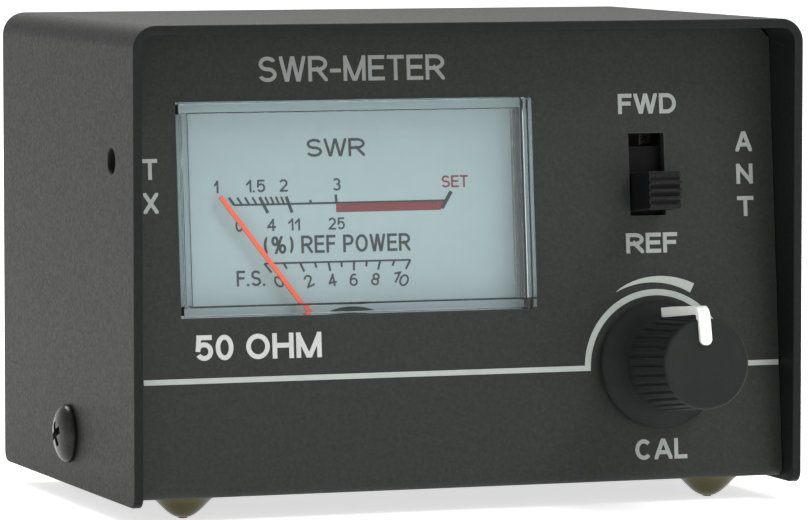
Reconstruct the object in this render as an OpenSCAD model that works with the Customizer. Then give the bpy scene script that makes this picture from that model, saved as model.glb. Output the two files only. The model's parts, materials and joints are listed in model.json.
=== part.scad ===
// SWR and power meter for a radio aerial line: a sheet-steel case with a sloping
// front panel, a moving-coil meter, a FWD/REF slide switch, a CAL knob and two
// coaxial sockets at the back. X is right, Y is back, Z is up, in millimetres.
// The origin is on the ground, in the middle of the whole part's outline.

/* [Case] */
// Width of the cover
cover_width = 90; // [80:0.5:110]
// Height of the cover's side walls
cover_height = 60; // [55:0.5:70]
// Depth of the cover, front edge to back edge
cover_depth = 60; // [55:0.5:80]
// Sheet thickness of the cover
cover_sheet = 1.2; // [0.8:0.1:1.6]
// Outside radius of the cover's two top bends
cover_bend = 3; // [2:0.1:5]
// How far the cover's lower edges hang below the chassis
cover_drop = 0.6; // [0.2:0.1:1.5]
// Sheet thickness of the chassis
chassis_sheet = 1; // [0.8:0.1:1.5]
// Outside radius of the chassis bends
chassis_bend = 1.2; // [1.1:0.1:3]
// Distance of the cover screws behind the cover's front edge
cover_screw_y = 29; // [25:0.5:35]
// Height of the cover screws above the cover's lower edge
cover_screw_z = 6.7; // [6:0.1:9]
// Distance of the small side holes behind the cover's front edge
side_hole_y = 9.6; // [8:0.1:14]
// Height of the small side holes above the cover's lower edge
side_hole_z = 42.8; // [38:0.1:48]
// Radius of the small side holes
side_hole_r = 1.6; // [1:0.1:2]

/* [Front panel] */
// Backward lean of the front panel in degrees
panel_lean = 5.14; // [0:0.01:10]
// Distance of the panel's bottom edge behind the cover's front edge
panel_inset = 3.07; // [2:0.01:6]
// Distance of the back panel in from the cover's back edge
rear_inset = 3; // [1:0.1:5]

/* [Feet] */
// Height of a foot
foot_height = 3; // [2:0.1:5]
// Radius of a foot where it meets the chassis
foot_r = 4.4; // [3:0.1:6]
// Distance of the feet from the middle, sideways
foot_x = 35.8; // [25:0.1:38]
// Distance of the front feet behind the cover's front edge
foot_front_y = 9.5; // [7:0.1:15]
// Distance of the rear feet behind the cover's front edge
foot_rear_y = 51; // [40:0.1:53]

/* [Meter] */
// Middle of the meter window, sideways
meter_x = -13.5; // [-16:0.1:-10]
// Width of the meter window
meter_w = 47.2; // [40:0.1:50]
// Height of the lower edge of the window above the panel's bottom edge
meter_s0 = 22.8; // [20:0.1:25]
// Height of the upper edge of the window above the panel's bottom edge
meter_s1 = 49.6; // [45:0.1:52]
// How far the window stands out of the panel
meter_proud = 0.9; // [0.5:0.1:2]
// Depth of the dial face behind the panel face
dial_depth = 4.5; // [4:0.1:6]
// Height of the needle's pivot above the panel's bottom edge
pivot_s = 15.1; // [14:0.1:17]
// Length of the needle from its pivot
needle_reach = 28.5; // [25:0.1:30]
// Width of the needle
needle_w = 0.5; // [0.3:0.05:0.8]
// Resting angle of the needle, left of upright
needle_rest = 37.1; // [35:0.1:40]

/* [Switch] */
// Middle of the switch slot, sideways
switch_x = 26.05; // [24:0.05:28]
// Middle of the switch slot above the panel's bottom edge
switch_s = 39.5; // [38:0.05:41]
// Width of the switch slot
slot_w = 4.9; // [4.6:0.1:6]
// Length of the switch slot
slot_h = 10.6; // [10.5:0.1:12]
// Travel of the switch
switch_travel = 4.9; // [4:0.1:4.9]
// Reach of the switch handle in front of the panel
handle_reach = 6; // [4:0.1:8]

/* [Control knob] */
// Middle of the knob, sideways
knob_x = 26.7; // [25:0.1:28]
// Middle of the knob above the panel's bottom edge
knob_s = 15; // [13:0.1:16]
// Radius of the knob's skirt
skirt_r = 8.2; // [7.2:0.1:9]
// Radius of the grip where it meets the skirt
grip_r = 6.15; // [5.8:0.05:7]
// Radius of the knob's flat face
face_r = 5.15; // [4.5:0.05:5.6]
// Height of the knob's face above the panel
knob_out = 16.6; // [14.5:0.1:18]
// Radius of the pointer's outer edge
pointer_r = 7.3; // [6.8:0.1:8]
// Number of flutes round the grip
knob_flutes = 24; // [12:1:28]

/* [Sockets] */
// Distance of each socket from the middle, sideways
socket_x = 22; // [20:0.5:24]
// Height of the sockets above the ground
socket_z = 32; // [28:0.5:36]
// Length of the threaded barrel
barrel_length = 11.5; // [10:0.1:13]
// Outside radius of the threaded barrel (5/8 inch thread)
barrel_r = 7.9375; // [7.9:0.0005:7.95]
// Bore radius of the centre contact (4 mm pin)
contact_bore = 2; // [1.98:0.01:2.1]

/* [Board] */
// Width of the circuit board
board_w = 66; // [60:1:74]
// Height of the circuit board
board_h = 32; // [26:1:40]
// Gap between the back panel and the board
board_gap = 9.4; // [8:0.1:11]

/* [Hidden] */
$fn = 48;
cover_z = foot_height - cover_drop;
in_x = cover_width / 2 - cover_sheet;
wall_x = in_x - 0.1;
roof_z = cover_z + cover_height - cover_sheet - 0.1;
lean_s = sin(panel_lean);
lean_c = cos(panel_lean);
knob_front = panel_inset + (knob_s - face_r) * lean_s - knob_out * lean_c;
flange_t = 1.8;
socket_back = cover_depth - rear_inset + flange_t + barrel_length;
front_y = -(knob_front + socket_back) / 2;
rear_y = front_y + cover_depth - rear_inset;
inner_y = rear_y - chassis_sheet;
floor_z = foot_height + chassis_sheet;
// The floor lies between the bends at the two panels' feet
floor_y0 = front_y + panel_inset + 10;
floor_y1 = rear_y - 3;
panel_top = (roof_z - foot_height) / lean_c;
rim_x0 = meter_x - meter_w / 2;
rim_x1 = meter_x + meter_w / 2;
body_x0 = rim_x0 - 2.2;
body_x1 = rim_x1 + 2.2;
body_s0 = 5.5;
body_s1 = meter_s1 + 2.4;
window_side = 1.3;
window_rim = 1.2;
stud_x = 19;
stud_s = 12;
post_x = 9.6;
bracket_y = front_y + 34;
skirt_out = -7;
base_out = -21.5;
base_floor = base_out + 1.5;
handle_s = switch_s - slot_h / 2 + 0.6;
handle_h = slot_h - switch_travel - 0.8;
slider_s0 = switch_s - 7.9;
slider_h = 11.6;
contact_x = 3.2;
contact_step = 4.9;
switch_screw_step = 11.75;
pot_lug_x = 13.2;
pot_lug_step = 4.4;
board_y1 = inner_y - board_gap;
board_y0 = board_y1 - 1.6;
screw_grid = 9.13;
m3_head_r = 2.75;
m3_head_h = 1.7;
m3_r = 1.45;
m3_nut = 5.5;
m3_hole = 1.6;
board_step = 10;
low_track = -12.5;
high_track = 12;
track_t = 0.07;
wire_r = 0.5;
track_y = board_y0 - track_t;
diode_pitch = 7.6;
resistor_pitch = 9.8;
capacitor_pitch = 2.6;

// Which sub-part to show

// ---------- helpers ----------

// A box between two corners
module block(x0, x1, y0, y1, z0, z1) {
    translate([x0, y0, z0]) cube([x1 - x0, y1 - y0, z1 - z0]);
}

// The panel's own frame: x sideways, y up the slope, z out of the face
module at_panel() {
    translate([0, front_y + panel_inset, foot_height])
        rotate([90 - panel_lean, 0, 0]) children();
}

// A socket's own frame: z out of the back panel
module at_socket(side) {
    translate([side * socket_x, rear_y, socket_z]) rotate([-90, 0, 0]) children();
}

// A place in the panel's frame, turned about its own z
module at_pivot(turn = 0) {
    at_panel() translate([meter_x, pivot_s, 0]) rotate([0, 0, turn]) children();
}

// A tube between two heights
module tube(outer, inner, z0, z1) {
    difference() {
        translate([0, 0, z0]) cylinder(r = outer, h = z1 - z0);
        translate([0, 0, z0 - 1]) cylinder(r = inner, h = z1 - z0 + 2);
    }
}

// A solid rod between two heights
module rod(r, z0, z1) {
    translate([0, 0, z0]) cylinder(r = r, h = z1 - z0);
}

// A hexagonal prism between two heights
module hex(flats, z0, z1) {
    translate([0, 0, z0]) cylinder(r = flats / sqrt(3), h = z1 - z0, $fn = 6);
}

// A hexagonal nut with a round hole
module nut(flats, bore, z0, z1) {
    difference() {
        hex(flats, z0, z1);
        rod(bore, z0 - 1, z1 + 1);
    }
}

// A pan-head screw with a cross recess, seated at z = 0 and pointing down
module pan_screw(head_r, head_h, shank_r, length) {
    slot = head_r * 0.26;
    reach = head_r * 0.5;
    rim = head_h * 0.25;
    dome = [
        for (a = [0:15:75]) [head_r * cos(a), rim + (head_h - rim) * sin(a) / sin(75)]
    ];
    difference() {
        union() {
            rod(shank_r, -length, 0.01);
            rotate_extrude() polygon(concat([[0, 0], [head_r, 0]], dome, [[0, head_h]]));
        }
        block(-reach, reach, -slot / 2, slot / 2, head_h * 0.35, head_h + 1);
        block(-slot / 2, slot / 2, -reach, reach, head_h * 0.35, head_h + 1);
    }
}

// Points of an arc about a centre
function arc(cx, cy, r, a0, a1, n) =
    [for (i = [0:n]) [cx + r * cos(a0 + (a1 - a0) * i / n), cy + r * sin(a0 + (a1 - a0) * i / n)]];

// A point on a smooth curve through four points
function spline(a, b, c, d, t) =
    0.5 * (2 * b + (c - a) * t + (2 * a - 5 * b + 4 * c - d) * t * t
    + (3 * b - a - 3 * c + d) * t * t * t);

// A smooth run of points through a path
function smooth(p, n) = [
    for (i = [0:len(p) - 2], k = [0:n - 1])
        spline(p[max(i - 1, 0)], p[i], p[i + 1], p[min(i + 2, len(p) - 1)], k / n),
    p[len(p) - 1]
];

function unit(v) = v / norm(v);

// A direction along a run of points
function heading(q, i) = unit(q[min(i + 1, len(q) - 1)] - q[max(i - 1, 0)]);

// A round wire through a path, cut square to its first and last legs
module wire(path, r, sides = 8, steps = 6) {
    q = smooth(path, steps);
    n = len(q);
    legs = len(path) - 1;
    points = [
        for (i = [0:n - 1])
            let (
                t = i == 0 ? unit(path[1] - path[0])
                    : i == n - 1 ? unit(path[legs] - path[legs - 1]) : heading(q, i),
                u = unit(cross(t, abs(t[0]) < 0.8 ? [1, 0, 0] : [0, 0, 1])),
                v = cross(t, u)
            )
            for (k = [0:sides - 1])
                q[i] + r * (u * cos(360 * k / sides) + v * sin(360 * k / sides))
    ];
    skin = [
        for (i = [0:n - 2], k = [0:sides - 1])
            let (k2 = (k + 1) % sides)
            [i * sides + k, (i + 1) * sides + k, (i + 1) * sides + k2, i * sides + k2]
    ];
    first = [for (k = [0:sides - 1]) k];
    last = [for (k = [sides - 1:-1:0]) (n - 1) * sides + k];
    polyhedron(points = points, faces = concat(skin, [first], [last]), convexity = 6);
}

// A point given in the panel's frame, in the whole part's frame
function panel_point(x, s, z) = [
    x,
    front_y + panel_inset + s * lean_s - z * lean_c,
    foot_height + s * lean_c + z * lean_s
];

// A flat spiral spring as an outline
module spiral(r0, r1, width, turns) {
    n = 24 * turns;
    outer = [for (i = [0:n]) let (r = r0 + (r1 - r0) * i / n + width / 2)
        [r * cos(15 * i), r * sin(15 * i)]];
    inner = [for (i = [n:-1:0]) let (r = r0 + (r1 - r0) * i / n - width / 2)
        [r * cos(15 * i), r * sin(15 * i)]];
    polygon(concat(outer, inner));
}

// A part lying on the board on two bent leads, standing out along z
module axial(r, length, pitch, rise) {
    translate([0, 0, rise]) rotate([0, 90, 0]) cylinder(r = r, h = length, center = true);
    for (side = [-1, 1]) {
        block(min(side * length / 2 - side * 0.3, side * pitch / 2),
            max(side * length / 2 - side * 0.3, side * pitch / 2),
            -0.25, 0.25, rise - 0.25, rise + 0.25);
        block(side * pitch / 2 - 0.25, side * pitch / 2 + 0.25, -0.25, 0.25,
            track_t, rise + 0.25);
    }
}

// The board's own frame: z out of its front face
module at_board(x, z) {
    translate([x, board_y0, socket_z + z]) rotate([90, 0, 0]) children();
}

// ---------- case ----------

// The folded sheet: leaning front panel, floor with its two tabs, and rear panel
module chassis_metal() {
    t = chassis_sheet;
    r = chassis_bend;
    y0 = front_y + panel_inset;
    bend_y = y0 + r * (1 + lean_s) / lean_c;
    bend_z = foot_height + r;
    top = [y0 + panel_top * lean_s, foot_height + panel_top * lean_c];
    profile = concat(
        [top],
        arc(bend_y, bend_z, r, 180 - panel_lean, 270, 8),
        arc(rear_y - r, bend_z, r, 270, 360, 8),
        [[rear_y, roof_z], [rear_y - t, roof_z]],
        arc(rear_y - r, bend_z, r - t, 360, 270, 4),
        arc(bend_y, bend_z, r - t, 270, 180 - panel_lean, 4),
        [top + [t * lean_c, -t * lean_s]]
    );
    difference() {
        union() {
            translate([-wall_x, 0, 0]) rotate([90, 0, 90])
                linear_extrude(height = 2 * wall_x) polygon(profile);
            for (side = [-1, 1])
                translate([side * (wall_x - t / 2), front_y + cover_screw_y, foot_height + 5.5])
                    cube([t, 14, 11], center = true);
            for (step = [-1, 1]) at_panel()
                translate([switch_x, switch_s + step * switch_screw_step, 0]) rod(0.95, -4.6, -0.5);
        }
        at_panel() {
            block(rim_x0 - 0.15, rim_x1 + 0.15, meter_s0 - 0.15, meter_s1 + 0.15, -2, 1);
            block(switch_x - slot_w / 2, switch_x + slot_w / 2,
                switch_s - slot_h / 2, switch_s + slot_h / 2, -2, 1);
            translate([knob_x, knob_s, 0]) rod(3.6, -2, 1);
        }
        for (side = [-1, 1]) {
            at_socket(side) rod(7.1, -2, 1);
            at_socket(side) screw_places() rod(m3_hole, -2, 1);
            translate([side * (wall_x - 3), front_y + cover_screw_y, cover_z + cover_screw_z])
                rotate([0, side * 90, 0]) rod(2.15, 0, 5);
            for (y = [front_y + 6, rear_y]) translate([side * wall_x, y, roof_z])
                rotate([90, 0, 0]) cylinder(r = 1.4, h = 16, center = true, $fn = 4);
        }
        for (step = [-1, 1]) translate([0, rear_y, socket_z + step * board_step])
            rotate([-90, 0, 0]) rod(m3_hole, -2, 1);
        translate([meter_x, bracket_y, foot_height]) rod(m3_hole, -1, 2);
    }
}

// The stretch of the folded sheet between two distances from the middle, front to back
module chassis_stretch(y0, y1) {
    color([0.20, 0.21, 0.20]) intersection() {
        chassis_metal();
        block(-wall_x - 1, wall_x + 1, y0, y1, 0, roof_z + 1);
    }
}

module front_panel() {
    chassis_stretch(front_y - 1, floor_y0);
}

module chassis_floor() {
    chassis_stretch(floor_y0, floor_y1);
}

module rear_panel() {
    chassis_stretch(floor_y1, rear_y + 1);
}

// The four fixing holes of a socket flange
module screw_places() {
    for (gx = [-1, 1], gy = [-1, 1]) translate([gx * screw_grid, gy * screw_grid, 0]) children();
}

module cover() {
    w = cover_width / 2;
    r = cover_bend;
    t = cover_sheet;
    z1 = cover_z + cover_height;
    back_y = front_y + cover_depth;
    hoop = concat(
        [[w, cover_z]],
        arc(w - r, z1 - r, r, 0, 90, 12),
        arc(r - w, z1 - r, r, 90, 180, 12),
        [[-w, cover_z], [t - w, cover_z]],
        arc(r - w, z1 - r, r - t, 180, 90, 8),
        arc(w - r, z1 - r, r - t, 90, 0, 8),
        [[w - t, cover_z]]
    );
    side_view = concat(
        [[front_y, z1 + 1]],
        arc(front_y + 1.5, cover_z + 1.5, 1.5, 180, 270, 6),
        arc(back_y - 1.5, cover_z + 1.5, 1.5, 270, 360, 6),
        [[back_y, z1 + 1]]
    );
    color([0.23, 0.24, 0.24]) difference() {
        intersection() {
            translate([0, back_y, 0]) rotate([90, 0, 0])
                linear_extrude(height = cover_depth) polygon(hoop);
            translate([-w - 1, 0, 0]) rotate([90, 0, 90])
                linear_extrude(height = 2 * w + 2) polygon(side_view);
        }
        for (side = [-1, 1]) {
            translate([side * w, front_y + cover_screw_y, cover_z + cover_screw_z])
                rotate([0, side * 90, 0]) rod(2.2, -3, 1);
            translate([side * w, front_y + side_hole_y, cover_z + side_hole_z])
                rotate([0, side * 90, 0]) rod(side_hole_r, -3, 1);
        }
    }
}

module at_cover_screw(side) {
    translate([side * cover_width / 2, front_y + cover_screw_y, cover_z + cover_screw_z])
        rotate([0, side * 90, 0]) children();
}

module cover_screws() {
    color([0.06, 0.06, 0.06]) for (side = [-1, 1])
        at_cover_screw(side) pan_screw(3.75, 1.9, 1.95, 6.5);
}

// The nuts on the cover's screws, the switch's screws and the sockets' screws
module machine_nuts() {
    color([0.76, 0.76, 0.73]) {
        for (side = [-1, 1]) at_cover_screw(side)
            nut(7, 2, -cover_sheet - 0.1 - chassis_sheet - 3.2,
                -cover_sheet - 0.1 - chassis_sheet);
        for (step = [-1, 1]) at_panel()
            translate([switch_x, switch_s + step * switch_screw_step, 0])
                nut(4, 0.97, -3.2, -1.6);
        for (side = [-1, 1], gx = [-1, 1], gy = [-1, 1]) {
            lug = (gx == -side && gy == 1) ? 0.5 : 0;
            at_socket(side) translate([gx * screw_grid, gy * screw_grid, 0])
                nut(m3_nut, 1.48, -3.4 - lug, -1 - lug);
        }
    }
}

module feet() {
    flare = 0.6;
    dome = [
        for (k = [0.1:0.1:1])
            [(foot_r - flare) * sqrt(k) + flare * pow(k, 4), foot_height * k]
    ];
    outline = concat([[0, 0], [0.9, 0]], dome, [[0, foot_height]]);
    color([0.45, 0.40, 0.15]) for (x = [-foot_x, foot_x], y = [foot_front_y, foot_rear_y])
        translate([x, front_y + y, 0]) rotate_extrude($fn = 40) polygon(outline);
}

// ---------- meter ----------

module meter_window() {
    wall = window_side;
    rim = window_rim;
    glass = meter_proud - 1.2;
    deep = 0.2 - dial_depth;
    color([0.86, 0.90, 0.92, 0.35]) at_panel() union() {
        difference() {
            block(rim_x0, rim_x1, meter_s0, meter_s1, -1.9, meter_proud);
            block(rim_x0 + wall, rim_x1 - wall, meter_s0 + rim, meter_s1 - rim, -3, glass);
        }
        difference() {
            block(body_x0, body_x1, body_s0, body_s1, skirt_out, -1.5);
            block(body_x0 + 1.2, body_x1 - 1.2, body_s0 + 1.2, body_s1 - 1.2,
                skirt_out - 1, -2.3);
            block(rim_x0 + wall, rim_x1 - wall, meter_s0 + rim, meter_s1 - rim, -3, 0);
        }
        block(rim_x0, rim_x0 + wall, meter_s0 + rim, meter_s1, deep, -1.8);
        block(rim_x1 - wall, rim_x1, meter_s0 + rim, meter_s1, deep, -1.8);
        block(rim_x0, rim_x1, meter_s1 - rim, meter_s1, deep, -1.8);
    }
}

module meter_gasket() {
    color([0.08, 0.08, 0.08]) at_panel() difference() {
        block(body_x0, body_x1, body_s0, body_s1, -1.5, -1);
        block(rim_x0 - 0.3, rim_x1 + 0.3, meter_s0 - 0.3, meter_s1 + 0.3, -2, 0);
    }
}

module dial_places() {
    for (side = [-1, 1]) at_panel() translate([meter_x + side * 20, 19, 0]) children();
}

module dial_plate() {
    color([0.70, 0.76, 0.78]) difference() {
        at_panel() block(body_x0 + 2.4, body_x1 - 2.4, 13, body_s1 - 2.4,
            -dial_depth - 0.5, -dial_depth);
        at_pivot() rod(8.5, -dial_depth - 1, -dial_depth + 1);
        dial_places() rod(0.95, -dial_depth - 1, -dial_depth + 1);
    }
}

module dial_screws() {
    color([0.75, 0.75, 0.72]) dial_places()
        translate([0, 0, -dial_depth]) pan_screw(1.6, 0.8, 0.8, 4);
}

module meter_base() {
    color([0.10, 0.10, 0.11]) difference() {
        union() {
            at_panel() difference() {
                block(body_x0, body_x1, body_s0, body_s1, base_out, skirt_out - 0.05);
                block(body_x0 + 1.6, body_x1 - 1.6, body_s0 + 1.6, body_s1 - 1.6,
                    base_floor, 0);
            }
            at_panel() difference() {
                block(body_x0 + 1.3, body_x1 - 1.3, body_s0 + 1.3, body_s1 - 1.3,
                    skirt_out - 1, skirt_out + 1.8);
                block(body_x0 + 2.2, body_x1 - 2.2, body_s0 + 2.2, body_s1 - 2.2,
                    skirt_out - 2, 0);
            }
            dial_places() rod(2.2, base_floor - 0.5, -dial_depth - 0.5);
        }
        dial_places() rod(0.82, -dial_depth - 6, -dial_depth + 1);
        at_panel() for (side = [-1, 1])
            translate([meter_x + side * stud_x, stud_s, 0]) rod(1.52, base_out - 1, base_floor + 1);
    }
}

module meter_yoke() {
    color([0.55, 0.55, 0.53]) at_pivot() {
        tube(8, 5.5, -15.9, -9.3);
        for (side = [-1, 1])
            block(-2, 2, min(side * 6.2, side * 7.6), max(side * 6.2, side * 7.6),
                base_floor, -15.7);
    }
}

module meter_magnet() {
    color([0.30, 0.30, 0.31]) at_pivot() rod(3.4, -15.6, -9.6);
}

module movement_posts() {
    color([0.78, 0.63, 0.30]) at_pivot() for (side = [-1, 1])
        translate([side * post_x, 0, 0]) tube(1.3, 0.6, base_floor, -6.9);
}

module movement_bridges() {
    color([0.72, 0.72, 0.70]) at_pivot() {
        difference() {
            union() {
                block(-11.2, 11.2, -2.2, 2.2, -6.9, -6.2);
                block(2.35, 2.95, -0.5, 0.5, -7.6, -6.8);
            }
            rod(0.82, -8, -5);
            for (side = [-1, 1]) translate([side * post_x, 0, 0]) rod(0.62, -8, -5);
        }
        difference() {
            union() {
                block(-11.2, 11.2, -1.8, 1.8, -18.4, -17.7);
                for (side = [-1, 1]) translate([side * 2.8, 0, 0]) rod(0.5, -17.8, -15.6);
            }
            rod(0.82, -19, -17);
            for (side = [-1, 1]) translate([side * post_x, 0, 0]) rod(1.31, -19, -17);
        }
    }
}

module movement_screws() {
    color([0.80, 0.66, 0.34]) at_pivot() {
        for (side = [-1, 1])
            translate([side * post_x, 0, -6.2]) pan_screw(1.2, 0.7, 0.58, 3);
        difference() {
            rod(0.8, -7, -5.7);
            block(-1, 1, -0.13, 0.13, -6, -5);
        }
        difference() {
            rod(0.8, -19, -17.56);
            block(-1, 1, -0.13, 0.13, -20, -18.7);
        }
    }
}

module hairsprings() {
    color([0.72, 0.60, 0.35]) at_pivot() {
        translate([0, 0, -7.55]) linear_extrude(height = 0.25) spiral(0.72, 2.25, 0.16, 3);
        translate([0, 0, -17.35]) linear_extrude(height = 0.25) spiral(0.72, 2.2, 0.16, 3);
    }
}

module moving_coil() {
    color([0.70, 0.35, 0.18]) at_pivot(needle_rest) difference() {
        block(-0.8, 0.8, -4.9, 4.9, -16.7, -8.5);
        block(-1, 1, -3.9, 3.9, -16.1, -9.1);
    }
}

module needle_staff() {
    color([0.75, 0.75, 0.76]) at_pivot() {
        rod(0.35, -8.5, -7.3);
        rod(0.55, -7.7, -7.25);
        translate([0, 0, -7.26]) cylinder(r1 = 0.3, r2 = 0.08, h = 0.2);
        rod(0.35, -17.25, -16.7);
        rod(0.55, -17.4, -17);
        translate([0, 0, -17.52]) cylinder(r1 = 0.08, r2 = 0.3, h = 0.2);
    }
}

module needle() {
    color([1.0, 0.33, 0.18]) at_pivot(needle_rest) difference() {
        union() {
            rod(1.1, -8.3, -7.9);
            block(-0.5, 0.5, -4.6, 6.2, -8.3, -7.9);
            block(-3.3, 3.3, -0.4, 0.4, -8.3, -7.9);
            block(-0.35, 0.35, 5.7, 6.2, -8.2, -3.3);
            translate([0, 0, -3.6]) linear_extrude(height = 0.3) polygon([
                [-0.3, 5.75], [0.3, 5.75], [needle_w / 2, needle_reach],
                [-needle_w / 2, needle_reach]
            ]);
        }
        rod(0.37, -9, -7);
    }
}

module needle_weights() {
    color([0.62, 0.60, 0.55]) at_pivot(needle_rest) {
        translate([0, -4, 0]) rod(0.6, -7.9, -7.3);
        for (side = [-1, 1]) translate([side * 2.8, 0, 0]) rod(0.5, -8.9, -8.3);
    }
}

module meter_terminals() {
    color([0.80, 0.66, 0.34]) at_panel() for (side = [-1, 1])
        translate([meter_x + side * stud_x, stud_s, 0]) {
            rod(1.5, base_out - 3, base_floor + 0.8);
            hex(5, base_out - 1.4, base_out);
        }
}

module meter_bracket() {
    s0 = 3.4;
    plate_y = front_y + panel_inset + s0 * lean_s - (base_out - 0.1) * lean_c;
    color([0.68, 0.69, 0.68]) difference() {
        union() {
            at_panel() block(meter_x - 9.5, meter_x + 9.5, s0, 34,
                base_out - 1.25, base_out - 0.05);
            block(meter_x - 9.5, meter_x + 9.5, plate_y, front_y + 39, floor_z, floor_z + 1.2);
        }
        translate([meter_x, bracket_y, 0]) rod(m3_hole, 3, 8);
    }
}

module bracket_screw() {
    color([0.75, 0.75, 0.72]) {
        translate([meter_x, bracket_y, foot_height]) rotate([180, 0, 0])
            pan_screw(m3_head_r, m3_head_h, m3_r, 6);
        translate([meter_x, bracket_y, 0]) nut(m3_nut, 1.48, floor_z + 1.2, floor_z + 3.6);
    }
}

// ---------- slide switch ----------

module switch_frame() {
    color([0.66, 0.67, 0.66]) at_panel() translate([switch_x, switch_s, 0]) difference() {
        union() {
            block(-6.5, 6.5, -13.7, 13.7, -1.6, -1);
            for (side = [-1, 1]) translate([side * 6.2, 0, 0])
                block(-0.3, 0.3, -8.7, 8.7, -9.9, -1.2);
        }
        block(-slot_w / 2, slot_w / 2, -slot_h / 2, slot_h / 2, -2, 0);
        for (step = [-1, 1]) translate([0, step * switch_screw_step, 0]) rod(1.15, -2, 0);
    }
}

module switch_terminal_places() {
    at_panel() for (side = [-1, 1], step = [-1:1])
        translate([switch_x + side * contact_x, switch_s + step * contact_step, 0]) children();
}

module switch_base() {
    color([0.42, 0.26, 0.12]) difference() {
        at_panel() translate([switch_x, switch_s, 0])
            block(-5.85, 5.85, -8.7, 8.7, -9.7, -8.5);
        switch_terminal_places() block(-0.52, 0.52, -0.24, 0.24, -11, -8);
    }
}

module switch_terminals() {
    color([0.80, 0.80, 0.76]) switch_terminal_places() {
        block(-0.5, 0.5, -0.22, 0.22, -13.5, -8.4);
        block(-0.8, 0.8, -0.8, 0.8, -8.5, -8.35);
    }
}

module switch_handle() {
    w = slot_w / 2 - 0.27;
    ribs = 5;
    pitch = handle_h / ribs;
    rib = 0.36;
    color([0.05, 0.05, 0.05]) at_panel() translate([switch_x, handle_s, 0]) union() {
        block(-w, w, 0, handle_h, -2.2, handle_reach);
        for (i = [0:ribs - 1]) {
            crown = 0.75 - 0.12 * (i - 2) * (i - 2);
            block(-w, w, (i + 0.5) * pitch - rib / 2, (i + 0.5) * pitch + rib / 2,
                handle_reach - 0.5, handle_reach + crown);
        }
        block(-5.3, 5.3, slider_s0 - handle_s, slider_s0 - handle_s + slider_h, -4.5, -1.9);
    }
}

module switch_sliders() {
    s = slider_s0 + 2.3;
    color([0.80, 0.62, 0.30]) at_panel() for (side = [-1, 1])
        translate([switch_x + side * contact_x, s, 0]) {
            block(-0.6, 0.6, 0, 7, -5, -4.5);
            block(-0.6, 0.6, 0, 0.6, -8.28, -4.7);
            block(-0.6, 0.6, 6.4, 7, -8.28, -4.7);
        }
}

// ---------- level control ----------

module at_knob() {
    at_panel() translate([knob_x, knob_s, 0]) children();
}

module pot_can() {
    color([0.70, 0.71, 0.70]) at_knob() difference() {
        rod(8.3, -9.8, -4.15);
        rod(7.9, -9.4, -4);
    }
}

module pot_bushing() {
    color([0.74, 0.74, 0.72]) at_knob() difference() {
        union() {
            rod(3.5, -2.4, 2.9);
            rod(6.6, -2.4, -1);
        }
        rod(3.05, -3, 4);
    }
}

module pot_wafer() {
    color([0.38, 0.23, 0.10]) at_knob() difference() {
        union() {
            rod(7.9, -4.1, -2.45);
            block(6, 12.4, -6, 6, -4.1, -2.45);
        }
        rod(3.3, -5, 0);
    }
}

module pot_terminals() {
    color([0.80, 0.80, 0.76]) at_knob() for (k = [-1:1]) {
        block(9.2, 13.4, k * pot_lug_step - 0.8, k * pot_lug_step + 0.8, -4.5, -4.12);
        block(13, 13.4, k * pot_lug_step - 0.8, k * pot_lug_step + 0.8, -9.5, -4.2);
    }
}

module pot_nut() {
    color([0.80, 0.80, 0.78]) at_knob() nut(10, 3.52, 0.5, 2.6);
}

module pot_washer() {
    color([0.78, 0.78, 0.76]) at_knob() tube(5.6, 3.55, 0, 0.5);
}

module pot_shaft() {
    color([0.78, 0.78, 0.75]) at_knob() difference() {
        rod(3, -8.8, 13.4);
        block(-4, 4, -0.5, 0.5, 8, 14);
    }
}

module pot_wiper() {
    color([0.80, 0.62, 0.30]) at_knob() {
        tube(4.6, 3.02, -6.4, -5.2);
        block(-0.8, 0.8, 4.2, 7.2, -5.6, -5.2);
        block(-0.8, 0.8, 6.4, 7.2, -5.5, -4.16);
    }
}

// The pointer's outline on the knob's face, widened by a gap
function pointer_outline(gap) = concat(
    arc(0, 3.2, 0.85 + gap, 180, 360, 8),
    [[0.85 + gap, pointer_r + 4 * gap], [-0.85 - gap, pointer_r + 4 * gap]]
);

module cal_knob() {
    lip = 0.4;
    taper = atan((grip_r - face_r - lip) / (knob_out - lip - 4.9));
    color([0.10, 0.10, 0.10]) at_knob() difference() {
        union() {
            translate([0, 0, 0.8]) cylinder(r1 = skirt_r, r2 = grip_r + 0.15, h = 4.2);
            translate([0, 0, 4.9])
                cylinder(r1 = grip_r, r2 = face_r + lip, h = knob_out - lip - 4.9);
            translate([0, 0, knob_out - lip]) cylinder(r1 = face_r + lip, r2 = face_r, h = lip);
        }
        rod(6.2, 0, 3.2);
        rod(3.02, 3, 13.6);
        for (i = [0:knob_flutes - 1]) rotate([0, 0, (i + 0.5) * 360 / knob_flutes + 90])
            translate([grip_r + 0.22, 0, 5.6]) rotate([0, -taper, 0])
                cylinder(r = 0.45, h = knob_out - 6.6, $fn = 16);
        block(-0.87, 0.87, 4.93, 9, 3.3, knob_out + 1);
        translate([0, 0, knob_out - 0.52])
            linear_extrude(height = 2) polygon(pointer_outline(0.02));
    }
}

module knob_pointer() {
    color([0.94, 0.93, 0.84]) at_knob() union() {
        block(-0.85, 0.85, 4.95, pointer_r, 3.35, knob_out + 0.5);
        translate([0, 0, knob_out - 0.5])
            linear_extrude(height = 1) polygon(pointer_outline(0));
    }
}

// ---------- sockets ----------

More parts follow.
